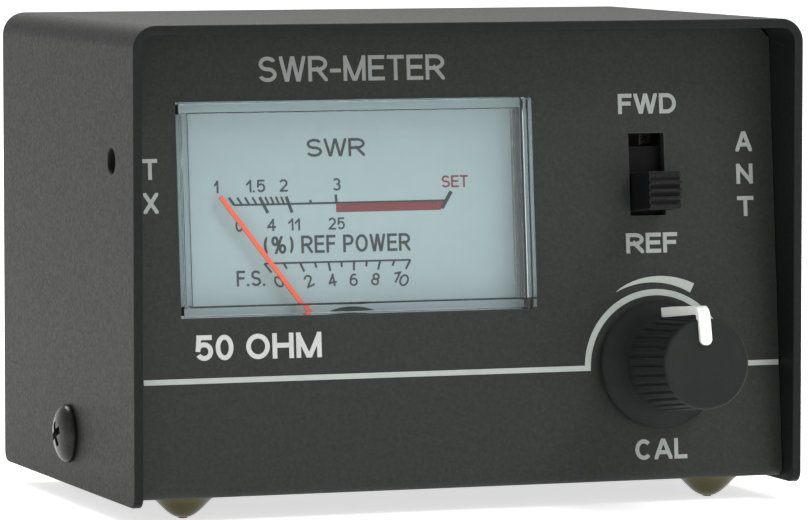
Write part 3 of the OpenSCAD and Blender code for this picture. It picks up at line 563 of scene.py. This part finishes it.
# Centre lines of the letters, each as (width, strokes). A stroke is (x0, y0, x1, y1), or an arc of an
# ellipse as (centre x, centre y, radius x, radius y, first angle, last angle), all in a box of 1 by 1.
# Several letters share the stem and the bowl, and slanting strokes that meet in a point run past the box.
STEM = (0, 0, 0, 1)
BOWL = [(0, 1, 0.5, 1), (0, 0.46, 0.5, 0.46), (0.5, 0.73, 0.5, 0.27, -90, 90)]
LETTERS = {
    " ": (0.25, []),
    "-": (0.42, [(0, 0.4, 1, 0.4)]),
    ".": (0.18, [(0, 0, 0, 0)]),
    "(": (0.36, [(1.0, 0.5, 1.0, 0.53, 108, 252)]),
    ")": (0.36, [(0.0, 0.5, 1.0, 0.53, -72, 72)]),
    "%": (
        0.95,
        [(0.2, 0.76, 0.2, 0.24, 0, 360), (0.8, 0.24, 0.2, 0.24, 0, 360), (0.28, 0, 0.72, 1)],
    ),
    "0": (0.60, [(0.5, 0.5, 0.5, 0.5, 0, 360)]),
    "1": (0.38, [(1, 0, 1, 1), (0.1, 0.7, 1, 0.98)]),
    "2": (0.60, [(0.5, 0.72, 0.5, 0.28, 165, -38), (0.9, 0.55, 0, 0), (0, 0, 1, 0)]),
    "3": (0.60, [(0.5, 0.76, 0.44, 0.24, 150, -90), (0.5, 0.26, 0.5, 0.26, 90, -150)]),
    "4": (0.62, [(0.72, 0, 0.72, 1), (0.72, 1, 0, 0.3), (0, 0.3, 1, 0.3)]),
    "5": (0.60, [(0.12, 1, 0.92, 1), (0.12, 1, 0.05, 0.5), (0.5, 0.33, 0.5, 0.33, 148, -150)]),
    "6": (0.60, [(0.5, 0.31, 0.5, 0.31, 0, 360), (0.55, 0.5, 0.55, 0.5, 60, 190)]),
    "8": (0.60, [(0.5, 0.76, 0.43, 0.24, 0, 360), (0.5, 0.26, 0.5, 0.26, 0, 360)]),
    "A": (0.80, [(0, 0, 0.5, 1.12), (1, 0, 0.5, 1.12), (0.2, 0.3, 0.8, 0.3)]),
    "C": (0.76, [(0.5, 0.5, 0.5, 0.5, 42, 318)]),
    "D": (0.74, [STEM, (0, 0, 0.45, 0), (0, 1, 0.45, 1), (0.45, 0.5, 0.55, 0.5, -90, 90)]),
    "E": (0.64, [STEM, (0, 0, 1, 0), (0, 0.52, 0.92, 0.52), (0, 1, 1, 1)]),
    "F": (0.60, [STEM, (0, 0.52, 0.88, 0.52), (0, 1, 1, 1)]),
    "H": (0.72, [STEM, (1, 0, 1, 1), (0, 0.52, 1, 0.52)]),
    "L": (0.58, [STEM, (0, 0, 1, 0)]),
    "M": (0.86, [STEM, (1, 0, 1, 1), (0, 1, 0.5, -0.12), (1, 1, 0.5, -0.12)]),
    "N": (0.74, [STEM, (1, 0, 1, 1), (0, 1, 1, 0)]),
    "O": (0.80, [(0.5, 0.5, 0.5, 0.5, 0, 360)]),
    "P": (0.68, [STEM, *BOWL]),
    "R": (0.74, [STEM, *BOWL, (0.5, 0.46, 1, 0)]),
    "S": (0.70, [(0.5, 0.75, 0.47, 0.25, 22, 270), (0.5, 0.25, 0.5, 0.25, 90, -160)]),
    "T": (0.66, [(0, 1, 1, 1), (0.5, 0, 0.5, 1)]),
    "W": (
        1.02,
        [
            (0, 1, 0.25, -0.12),
            (0.5, 1.12, 0.25, -0.12),
            (0.5, 1.12, 0.75, -0.12),
            (1, 1, 0.75, -0.12),
        ],
    ),
    "X": (0.74, [(0, 0, 1, 1), (0, 1, 1, 0)]),
}


def cropped(outline, axis, level, side):
    """The part of a convex outline above a level along an axis, with side 1, or below it, with side -1."""
    kept = []
    for start, end in zip(outline, outline[1:] + outline[:1]):
        start_in, end_in = (side * (point[axis] - level) >= 0 for point in (start, end))
        if start_in:
            kept.append(start)
        if start_in != end_in:
            share = (level - start[axis]) / (end[axis] - start[axis])
            kept.append(tuple(a + (b - a) * share for a, b in zip(start, end)))
    return kept


def line_outline(start, end, half, box):
    """A straight stroke's outline, whose sloping ends are cut off at box, as (left, right, foot, head)."""
    along = (end - start).normalized() if start != end else Vector((1, 0))
    reach = half * (1.5 if 0.01 < abs(along.x) < 0.99 else 1)
    corners = strip(start - along * reach, end + along * reach, 2 * half)
    outline = [tuple(corner) for corner in corners]
    left, right, foot, head = box
    for axis, low, high in ((0, left, right), (1, foot, head)):
        outline = cropped(cropped(outline, axis, low, 1), axis, high, -1)
    return outline


def oval_outlines(centre, radii, first, last, half):
    """A curved stroke's outline, or its two halves where it goes all the way round."""
    steps = max(8, round(abs(last - first) / 12))
    angles = [math.radians(first + (last - first) * i / steps) for i in range(steps + 1)]
    outer, inner = (
        [
            (
                centre[0] + (radii[0] + grow) * math.cos(angle),
                centre[1] + (radii[1] + grow) * math.sin(angle),
            )
            for angle in angles
        ]
        for grow in (half, -half)
    )
    if abs(last - first) < 360:
        return [outer + inner[::-1]]
    middle = steps // 2
    upper = outer[: middle + 1] + inner[: middle + 1][::-1]
    lower = outer[middle:] + inner[middle:][::-1]
    return [upper, lower]


def letter_outlines(letter, left, width, half):
    """A letter's strokes as outlines. Its outer height is 1, and half is half of a stroke's width."""
    wide, tall = max(width - 2 * half, 0), 1 - 2 * half
    box = (left, left + max(width, 2 * half), 0, 1)

    def placed(x, y):
        return (left + half + x * wide, half + y * tall)

    outlines = []
    for stroke in LETTERS[letter][1]:
        start = placed(*stroke[:2])
        if len(stroke) == 4:
            end = placed(*stroke[2:])
            outlines.append(line_outline(Vector(start), Vector(end), half, box))
        else:
            radii = (stroke[2] * wide, stroke[3] * tall)
            outlines += oval_outlines(start, radii, *stroke[4:], half)
    return outlines


def lettering(name, text, ink, box, out=0.0, bold=0.19, tilt=0.0):
    """A printed word that fills box, as (left, right, foot, head) on the panel, turned by tilt degrees.
    bold is the width of a stroke as a share of the letters' height."""
    left, right, foot, head = box
    tall = head - foot
    room = (right - left) / tall - LETTER_GAP * (len(text) - 1)
    stretch = room / sum(LETTERS[letter][0] for letter in text)
    widths = [max(LETTERS[letter][0] * stretch, bold) for letter in text]
    whole = sum(widths) + LETTER_GAP * (len(text) - 1)
    centre = Vector(((left + right) / 2, (foot + head) / 2))
    turn = Matrix.Rotation(math.radians(tilt), 2)
    bm = bmesh.new()
    start = 0.0
    for letter, width in zip(text, widths):
        for outline in letter_outlines(letter, start, width, bold / 2):
            flat = [centre + turn @ Vector((x - whole / 2, y - 0.5)) * tall for x, y in outline]
            slab(bm, flat, out - SUNK, out + INK, Matrix())
        start += width + LETTER_GAP
    bm = fused(bm)
    bm.transform(PANEL @ MILLIMETRES)
    return new_piece(name, bm, inks[ink])


def printed(name, outlines, ink, out=0.0, rise=INK):
    """Printed shapes, each an outline of (x, s) points on the panel, as one piece."""
    bm = bmesh.new()
    for outline in outlines:
        slab(bm, outline, out - SUNK, out + rise, PANEL @ MILLIMETRES)
    return new_piece(name, bm, inks[ink])


# Middle and radii of the printed arc round the knob, and the ends and half of the width of the printed line
ARC_X, ARC_S = 26.62, 14.7
ARC_OUTER, ARC_INNER = 9.98, 9.18
LINE_LEFT, LINE_RIGHT = -42.44, 43.6
LINE_S = ARC_S + 0.07
LINE_HALF = 0.34
# The labels across the panel, as (name, text, ink, (left, right, foot, head), bold), and those down its
# sides, as (name, letters, left, right, head of the first, step, bold)
PANEL_WORDS = [
    ("title_label", "SWR-METER", "title", (-26.2, -1.3, 52.1, 55.3), 0.15),
    ("impedance_label", "50 OHM", "bright", (-35.6, -18.9, 17.3, 20.5), 0.19),
    ("fwd_label", "FWD", "label", (22.3, 30.35, 47.3, 49.9), 0.2),
    ("ref_label", "REF", "label", (22.85, 29.95, 29.35, 31.95), 0.2),
    ("cal_label", "CAL", "label", (23.25, 30.45, 2.75, 5.4), 0.2),
]
SIDE_LETTERS = [
    ("tx_label", "TX", -41.8, -39.85, 42.7, 4.25, 0.19),
    ("ant_label", "ANT", 38.5, 40.8, 44.8, 4.2, 0.2),
]
SIDE_LETTER_TALL = 2.6


def half_line(side, end):
    """The line on one side of the knob, from its end at the panel's edge to where it runs into the arc."""
    inner, outer = ARC_X + side * ARC_INNER, ARC_X + side * ARC_OUTER
    return [
        (end, LINE_S - LINE_HALF),
        (inner, LINE_S - LINE_HALF),
        (inner, ARC_S),
        (outer, ARC_S),
        (outer, LINE_S + LINE_HALF),
        (end, LINE_S + LINE_HALF),
    ]


def print_panel():
    """Labels, the line across the panel, and the arc and wedge over the knob."""
    for name, text, ink, box, bold in PANEL_WORDS:
        lettering(name, text, ink, box, bold=bold)
    for name, letters, left, right, top, step, bold in SIDE_LETTERS:
        for i, letter in enumerate(letters):
            head = top - step * i
            box = (left, right, head - SIDE_LETTER_TALL, head)
            lettering(f"{name}_{letter}", letter, "label", box, bold=bold)
    centre = (ARC_X, ARC_S)
    arc = arc_points(centre, ARC_OUTER, 180, 0, 48) + arc_points(centre, ARC_INNER, 0, 180, 48)
    printed("panel_line", [half_line(-1, LINE_LEFT), arc, half_line(1, LINE_RIGHT)], "line")
    wedge = arc_points(centre, lambda t: 11.1 + 0.8 * t**0.6, 119, 62.5, 24)
    wedge += arc_points(centre, lambda t: 10.6 + 0.5 * t, 62.5, 119, 24)[:-1]
    printed("level_wedge", [wedge], "line")


# ---------- dial ----------

# The dial's face lies this far behind the panel's face, and the needle turns about this place
DIAL_OUT = -4.5
PIVOT_X, PIVOT_S = -13.5, 15.1
# Heights of the two scales' lines, and the places of the numbers by them
SWR_LINE = 36.8
POWER_LINE = 29.32
SWR_NUMBERS = (38.35, 39.95)
REF_NUMBERS = (33.4, 34.95)
POWER_NUMBERS = POWER_LINE - 2.35
# Degrees left of upright at which the needle shows each standing-wave ratio, and each step of power
SWR_ANGLES = {"1": 34.8, "1.5": 27.3, "2": 19.8, "2.5": 12.6, "3": 3.8}
END_ANGLE = -31.7
POWER_ANGLES = [38.5 - 6.88 * i for i in range(11)]
# The red band's left end and the height of its foot
BAND_X, BAND_S = -15.0, SWR_LINE - 1.2
# Words and numbers on the dial, as (name, text, ink, (left, right, foot, head))
DIAL_WORDS = [
    ("dial_swr", "SWR", "dial", (-18.75, -10.9, 42.7, 45.0)),
    ("dial_ref_power", "(%) REF POWER", "dial", (-24.8, -5.15, 30.5, 32.75)),
    ("dial_full_scale", "F.S.", "dial", (-28.55, -24.75, 26.5, 28.5)),
    ("dial_set", "SET", "red", (-0.66, 2.94, 38.45, 40.0)),
    ("dial_swr_1", "1", "dial", (-31.2, -30.6, *SWR_NUMBERS)),
    ("dial_swr_1.5", "1.5", "dial", (-26.95, -24.4, *SWR_NUMBERS)),
    ("dial_swr_2", "2", "dial", (-22.5, -21.4, *SWR_NUMBERS)),
    ("dial_swr_3", "3", "dial", (-15.4, -14.3, *SWR_NUMBERS)),
    ("dial_ref_0", "0", "dial", (-28.5, -27.5, *REF_NUMBERS)),
    ("dial_ref_4", "4", "dial", (-24.3, -23.1, *REF_NUMBERS)),
    ("dial_ref_11", "11", "dial", (-21.5, -19.9, *REF_NUMBERS)),
    ("dial_ref_25", "25", "dial", (-16.1, -13.9, *REF_NUMBERS)),
]
DIAL_BOLD = 0.155


def on_ray(angle, s):
    """Where a line from the needle's pivot, leaning left by the angle, meets a height on the dial."""
    return (PIVOT_X - (s - PIVOT_S) * math.tan(math.radians(angle)), s)


def tick(angle, foot, head, width=0.28):
    """The outline of a tick along the needle's line at the angle."""
    return strip(on_ray(angle, foot), on_ray(angle, head), width)


def between(first, second, parts):
    """The angles that divide a stretch of the scale into equal parts."""
    a, b = SWR_ANGLES[first], SWR_ANGLES[second]
    return [a + (b - a) * i / parts for i in range(1, parts)]


def print_swr_scale():
    """The upper scale: its ticks, line and red band."""
    head, foot = SWR_LINE + 0.95, SWR_LINE - 1.1
    short = between("1", "1.5", 4) + between("1.5", "2", 5)
    ticks = [tick(a, SWR_LINE, head) for a in short]
    ticks += [tick(SWR_ANGLES["1"], SWR_LINE, head, 0.35)]
    ticks += [tick(SWR_ANGLES[k], foot, head, 0.42) for k in ("1.5", "2")]
    ticks += [tick(SWR_ANGLES["2.5"], SWR_LINE, SWR_LINE + 0.45, 0.3)]
    ticks += [tick(SWR_ANGLES["3"], SWR_LINE, head + 0.1, 0.35)]
    ticks += [tick(END_ANGLE, SWR_LINE - 1.0, head + 0.2, 0.5)]
    printed("swr_ticks", ticks, "dial", DIAL_OUT)
    start, end = on_ray(SWR_ANGLES["1"], SWR_LINE), on_ray(END_ANGLE, SWR_LINE)
    printed("swr_line", [strip(start, end, 0.26)], "dial", DIAL_OUT, INK * 1.2)
    band = [(BAND_X, BAND_S), on_ray(END_ANGLE, BAND_S), end, (BAND_X, SWR_LINE)]
    printed("red_band", [band], "red", DIAL_OUT, INK * 0.8)


def print_power_scale():
    """The lower scale: its line, with ticks and numbers under it."""
    ticks = []
    for i, angle in enumerate(POWER_ANGLES):
        long = 0.7 if i % 2 else 1.15
        ticks.append(tick(angle, POWER_LINE - long, POWER_LINE))
    printed("power_ticks", ticks, "dial", DIAL_OUT)
    ends = [on_ray(angle, POWER_LINE) for angle in (POWER_ANGLES[0], POWER_ANGLES[-1])]
    printed("power_line", [strip(*ends, 0.24)], "dial", DIAL_OUT, INK * 1.2)
    for i, angle in enumerate(POWER_ANGLES[::2]):
        text = str(2 * i)
        x, s = on_ray(angle, POWER_NUMBERS)
        wide = 0.55 * len(text)
        box = (x - wide, x + wide, s - 0.8, s + 0.8)
        tilt = angle * 0.95
        lettering(f"dial_power_{text}", text, "dial", box, DIAL_OUT, DIAL_BOLD, tilt)


def print_dial():
    """The two scales, and the words and numbers of the dial."""
    print_swr_scale()
    print_power_scale()
    for name, text, ink, box in DIAL_WORDS:
        lettering(name, text, ink, box, DIAL_OUT, DIAL_BOLD)


# ---------- CAD nodes ----------

# Width in millimetres of the rounding along the large nodes' sharp edges, and along the other nodes'
EDGES = {"cover": 0.3, "meter_window": 0.22, "switch_handle": 0.12, "meter_base": 0.3}
SMALL_EDGE = 0.05
# Nodes too thin or too round for a rounded edge
NO_EDGE = {
    "red_wires",
    "black_wires",
    "yellow_wires",
    "hairsprings",
    "board_tracks",
    "needle",
    "meter_gasket",
}


def dress(node, piece):
    """Gives a CAD node its finish, and rounds its edges without touching its own mesh."""
    piece.data.materials.clear()
    piece.data.materials.append(finishes[SLOT_OF[node]])
    if "custom_normal" in piece.data.attributes:
        piece.data.attributes.remove(piece.data.attributes["custom_normal"])
    weld = piece.modifiers.new("weld", "WELD")
    weld.merge_threshold = 1e-6
    if node in NO_EDGE:
        add_smoothing(piece)
    else:
        flat = piece.modifiers.new("flat", "DECIMATE")
        flat.decimate_type = "DISSOLVE"
        flat.angle_limit = math.radians(0.5)
        soften(piece, EDGES.get(node, SMALL_EDGE), 3 if node in EDGES else 2)


def soften(piece, width, segments=3, sharper_than=40):
    """Rounds a piece's edges by a width in millimetres, and shades it smooth between them."""
    edge = piece.modifiers.new("edge", "BEVEL")
    edge.width = width * MM
    edge.segments = segments
    edge.limit_method = "ANGLE"
    edge.angle_limit = math.radians(sharper_than)
    edge.miter_outer = "MITER_ARC"
    add_smoothing(piece)
    even = piece.modifiers.new("even", "WEIGHTED_NORMAL")
    even.keep_sharp = True


def add_smoothing(piece):
    """Shades a piece smooth between its sharp edges."""
    smooth = piece.modifiers.new("smooth", "NODES")
    smooth.node_group = smooth_group()


def smooth_group():
    """A geometry group that shades smooth and marks edges over 40 degrees sharp."""
    name = "smooth_by_angle"
    if name in bpy.data.node_groups:
        return bpy.data.node_groups[name]
    group = bpy.data.node_groups.new(name, "GeometryNodeTree")
    group.interface.new_socket("Geometry", in_out="INPUT", socket_type="NodeSocketGeometry")
    group.interface.new_socket("Geometry", in_out="OUTPUT", socket_type="NodeSocketGeometry")
    start = group.nodes.new("NodeGroupInput")
    end = group.nodes.new("NodeGroupOutput")
    angle = group.nodes.new("GeometryNodeInputMeshEdgeAngle")
    sharper = group.nodes.new("FunctionNodeCompare")
    sharper.data_type = "FLOAT"
    sharper.operation = "GREATER_THAN"
    sharper.inputs[1].default_value = math.radians(40)
    faces = group.nodes.new("GeometryNodeSetShadeSmooth")
    faces.domain = "FACE"
    edges = group.nodes.new("GeometryNodeSetShadeSmooth")
    edges.domain = "EDGE"
    edges.inputs["Shade Smooth"].default_value = False
    group.links.new(start.outputs[0], faces.inputs["Geometry"])
    group.links.new(faces.outputs[0], edges.inputs["Geometry"])
    group.links.new(angle.outputs[0], sharper.inputs[0])
    group.links.new(sharper.outputs[0], edges.inputs["Selection"])
    group.links.new(edges.outputs[0], end.inputs[0])
    return group


# ---------- finer pieces ----------


def make_chassis():
    """The front panel, floor and rear panel as the one folded sheet that they are."""
    names = ("front_panel", "chassis_floor", "rear_panel")
    paint = "panel_paint"
    bm = bmesh.new()
    for name in names:
        bm.from_mesh(frame["nodes"][name].data)
    for seam in [corner.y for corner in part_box("chassis_floor")]:
        ends = [face for face in bm.faces if all(abs(v.co.y - seam) < 1e-6 for v in face.verts)]
        bmesh.ops.delete(bm, geom=ends, context="FACES")
    bmesh.ops.remove_doubles(bm, verts=bm.verts, dist=1e-6)
    bmesh.ops.dissolve_limit(bm, angle_limit=math.radians(0.5), verts=bm.verts, edges=bm.edges)
    piece = new_piece("folded_chassis", bm, finishes[paint])
    soften(piece, 0.2)
    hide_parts(*names)


# A foot's radius at the top, what of it is a flare there, and the radius of its flat tip, in millimetres
FOOT_R, FOOT_FLARE, FOOT_TIP_R = 4.4, 0.6, 0.6


def make_feet():
    """Blunt translucent domes."""
    low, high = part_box("feet")
    tall = high.z - low.z
    radius, flare = FOOT_R * MM, FOOT_FLARE * MM
    profile = [(0, 0), (FOOT_TIP_R * MM, 0)]
    steps = 24
    for i in range(1, steps + 1):
        share = (i / steps) ** 1.6
        profile.append(((radius - flare) * math.sqrt(share) + flare * share**4, tall * share))
    profile.append((0, tall))
    bm = bmesh.new()
    for x in (low.x + radius, high.x - radius):
        for y in (low.y + radius, high.y - radius):
            lathe(bm, profile, 48, Matrix.Translation((x, y, low.z)))
    piece = new_piece("foot_domes", bm, finishes["amber_rubber"])
    shade(piece, 50)
    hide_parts("feet")


# The knob's own frame, in millimetres, with z along its shaft away from the panel
KNOB = PANEL @ Matrix.Translation(Vector((KNOB_X, KNOB_S, 0)) * MM) @ MILLIMETRES
# Radii of the skirt, of the grip's foot and face, and of the rounding between grip and face
SKIRT_R, GRIP_R, FACE_R, FACE_ROUND = 8.2, 6.15, 5.37, 0.38
# Heights of the skirt's foot and edge, of the grip's foot, and of the face
SKIRT_FOOT, SKIRT_EDGE, GRIP_FOOT, KNOB_OUT = 0.8, 1.5, 5.15, 16.57
FLUTES, FLUTE_DEPTH = 30, 0.34
# How far from the knob's axis the pointer reaches, half of its width, and its turn from upright at rest
POINTER_R, POINTER_HALF = 7.3, 0.76
POINTER_TURN = Matrix.Rotation(math.radians(3.5), 4, "Z")


def knob_profile():
    """The knob's outside from skirt to face as (radius, height, depth of the flutes there)."""
    rows = [(6.2, SKIRT_FOOT, 0), (SKIRT_R - 0.1, SKIRT_FOOT, 0), (SKIRT_R, 0.9, 0), (SKIRT_R, 1.35, 0)]
    edge = SKIRT_R - 0.12
    rows.append((edge, SKIRT_EDGE, 0))
    for i in range(1, 13):
        share = i / 12
        sag = 0.35 * math.sin(math.pi * share)
        radius = edge - (SKIRT_R - GRIP_R - 0.1) * share - sag
        rows.append((radius, SKIRT_EDGE + 3.6 * share, 0))
    top = KNOB_OUT - 0.45
    taper = GRIP_R - FACE_R - FACE_ROUND
    for i in range(13):
        share = i / 12
        fade = min(1.0, share * 8, (1 - share) * 14)
        height = GRIP_FOOT + (top - GRIP_FOOT) * share
        rows.append((GRIP_R - taper * share, height, FLUTE_DEPTH * fade))
    for i in range(1, 6):
        angle = math.radians(18 * i)
        rows.append((FACE_R + FACE_ROUND * math.cos(angle), top + 0.45 * math.sin(angle), 0))
    face = KNOB_OUT - 0.06
    rows += [(FACE_R - 0.35, KNOB_OUT - 0.05, 0), (FACE_R - 0.5, face, 0), (0, face, 0)]
    return rows


def make_knob():
    """The fluted grip with its flaring skirt, hollow underneath."""
    around = FLUTES * 8
    hollow = [(0, 13.6, 0), (3.02, 13.6, 0), (3.02, 3.2, 0), (6.2, 3.2, 0)]
    bm = bmesh.new()
    rings = []
    for radius, height, groove in hollow + knob_profile():
        ring = []
        for i in range(around if radius else 1):
            angle = math.tau * i / around
            dip = groove * max(0.0, math.cos(FLUTES * angle)) ** 1.3
            ring.append(bm.verts.new(KNOB @ on_circle(radius - dip, angle, height)))
        rings.append(ring)
    for lower, upper in zip(rings, rings[1:]):
        join_rings(bm, lower, upper)
    foot, head = 4.6, POINTER_R - 1.3
    rib = [(-0.6, foot), (0.6, foot), (0.6, head), (-0.6, head)]
    slab(bm, rib, 3.6, KNOB_OUT - 1.2, KNOB @ POINTER_TURN)
    piece = new_piece("fluted_knob", bm, finishes["knob_plastic"], "cal_knob_body")
    shade(piece, 42)
    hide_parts("cal_knob")


def make_pointer():
    """The bent white line along the grip and over the face, with rounded corners and edges."""
    thick, half = 1.25, POINTER_HALF
    top, tip = KNOB_OUT + 0.52, 2.35
    bend = 1.35
    bend_middle = (POINTER_R - bend, top - bend)
    outer = arc_points(bend_middle, bend, 0, 90, 8)
    inner = arc_points(bend_middle, bend - thick + 0.25, 90, 0, 4)
    foot = 4.7
    outline = [(POINTER_R - thick, foot), (POINTER_R, foot), *outer]
    outline += [(tip + half, top), (tip + half, top - 1), *inner]
    side = Matrix(((0, 0, 1), (1, 0, 0), (0, 1, 0))).to_4x4()
    bm = bmesh.new()
    slab(bm, outline, -half, half, side)
    cap = arc_points((0, tip + half), half, 180, 360, 16)
    cap += [(half, tip + half + 0.4), (-half, tip + half + 0.4)]
    slab(bm, cap, top - 1, top, Matrix())
    bm = fused(bm)
    bm.transform(KNOB @ POINTER_TURN)
    white = "pointer_plastic"
    piece = new_piece("pointer_line", bm, finishes[white], "cal_knob_body")
    soften(piece, 0.3, segments=4, sharper_than=50)
    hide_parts("knob_pointer")


# A cover screw's head, in millimetres, and the turn of its cross in degrees
HEAD_R, HEAD_TALL, CROSS_TURN = 3.75, 1.9, 24


def cross_cutter(place):
    """A tapered cross that sinks into a screw's head."""
    reach, half = 2.0, 0.52
    outlines = []
    for height, share in ((HEAD_TALL - 1.25, 0.35), (HEAD_TALL + 0.4, 1.0)):
        r, h = reach * (0.25 + 0.75 * share), half * (0.8 + 0.2 * share)
        outline = [(r, -h), (r, h), (h, h), (h, r), (-h, r), (-h, h)]
        outline += [(-x, -y) for x, y in outline]
        outlines.append((outline, height))
    cutter = bmesh.new()
    prism(cutter, outlines, place)
    return cutter


def make_cover_screws():
    """Domed cross-head screws on both sides of the cover."""
    low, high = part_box("cover_screws")
    shank = [(0, -6.5), (1.7, -6.5), (1.95, -6.2), (1.95, 0), (HEAD_R - 0.1, 0), (HEAD_R, 0.12)]
    edge = 0.35
    angles = [math.radians(a) for a in range(0, 90, 6)]
    dome = [(HEAD_R * math.cos(a), edge + (HEAD_TALL - edge) * math.sin(a)) for a in angles]
    bm = bmesh.new()
    cutters = []
    for side in (-1, 1):
        seat = Vector((high.x if side > 0 else low.x, (low.y + high.y) / 2, (low.z + high.z) / 2))
        seat.x -= side * HEAD_TALL * MM
        turn = Matrix.Rotation(side * math.pi / 2, 4, "Y")
        place = Matrix.Translation(seat) @ turn @ MILLIMETRES
        lathe(bm, [*shank, *dome, (0, HEAD_TALL)], 64, place)
        cutters.append(cross_cutter(place @ Matrix.Rotation(math.radians(CROSS_TURN), 4, "Z")))
    bmesh.ops.recalc_face_normals(bm, faces=bm.faces)
    bm = carved(bm, cutters)
    piece = new_piece("cross_head_screws", bm, finishes["black_steel"])
    shade(piece, 40)
    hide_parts("cover_screws")


# The aerial socket's thread, in millimetres: 24 turns to the inch, on a barrel of 5/8 inch
THREAD_PITCH, THREAD_DEPTH, BARREL_R, THREAD_LENGTH = 25.4 / 24, 0.55, 7.9375, 11.0


def thread_cutter(place):
    """A ridge of triangular section that winds inwards along place's z axis, and fades out at its end."""
    steps = 48
    turns = round(THREAD_LENGTH / THREAD_PITCH)
    crest = BARREL_R + 0.2
    cutter = bmesh.new()
    rings = []
    for i in range(turns * steps + 1):
        turn = i / steps
        inward = THREAD_DEPTH * min(1.0, (turns - turn) * 3 + 0.02)
        middle = -0.2 + turn * THREAD_PITCH
        section = [(BARREL_R - inward, middle), (crest, middle + 0.55), (crest, middle - 0.55)]
        angle = math.tau * turn
        rings.append([cutter.verts.new(place @ on_circle(r, angle, z)) for r, z in section])
    for first, second in zip(rings, rings[1:]):
        join_rings(cutter, first, second)
    cutter.faces.new(rings[0])
    cutter.faces.new(rings[-1][::-1])
    return cutter


def make_socket_threads():
    """The aerial sockets' barrels with a real thread round them."""
    for name in ("tx", "ant"):
        node = f"{name}_socket_barrel"
        low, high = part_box(node)
        mouth = Vector(((low.x + high.x) / 2, high.y, (low.z + high.z) / 2))
        inwards = Matrix.Rotation(math.pi / 2, 4, "X")
        place = Matrix.Translation(mouth) @ inwards @ MILLIMETRES
        barrel = bmesh.new()
        barrel.from_mesh(frame["nodes"][node].data)
        bm = carved(barrel, [thread_cutter(place)])
        plate = "nickel_plate"
        piece = new_piece(f"{name}_threaded_barrel", bm, finishes[plate])
        shade(piece, 40)
        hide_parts(node)


for node, piece in frame["nodes"].items():
    dress(node, piece)
print_panel()
print_dial()
make_chassis()
make_feet()
make_knob()
make_pointer()
make_cover_screws()
make_socket_threads()
add_stage()
add_world()
for name, place, target, width, height, watts, colour in LIGHTS:
    add_light(name, place, target, width, height, watts, colour)
add_camera()
bpy.context.scene.view_settings.view_transform = "Standard"
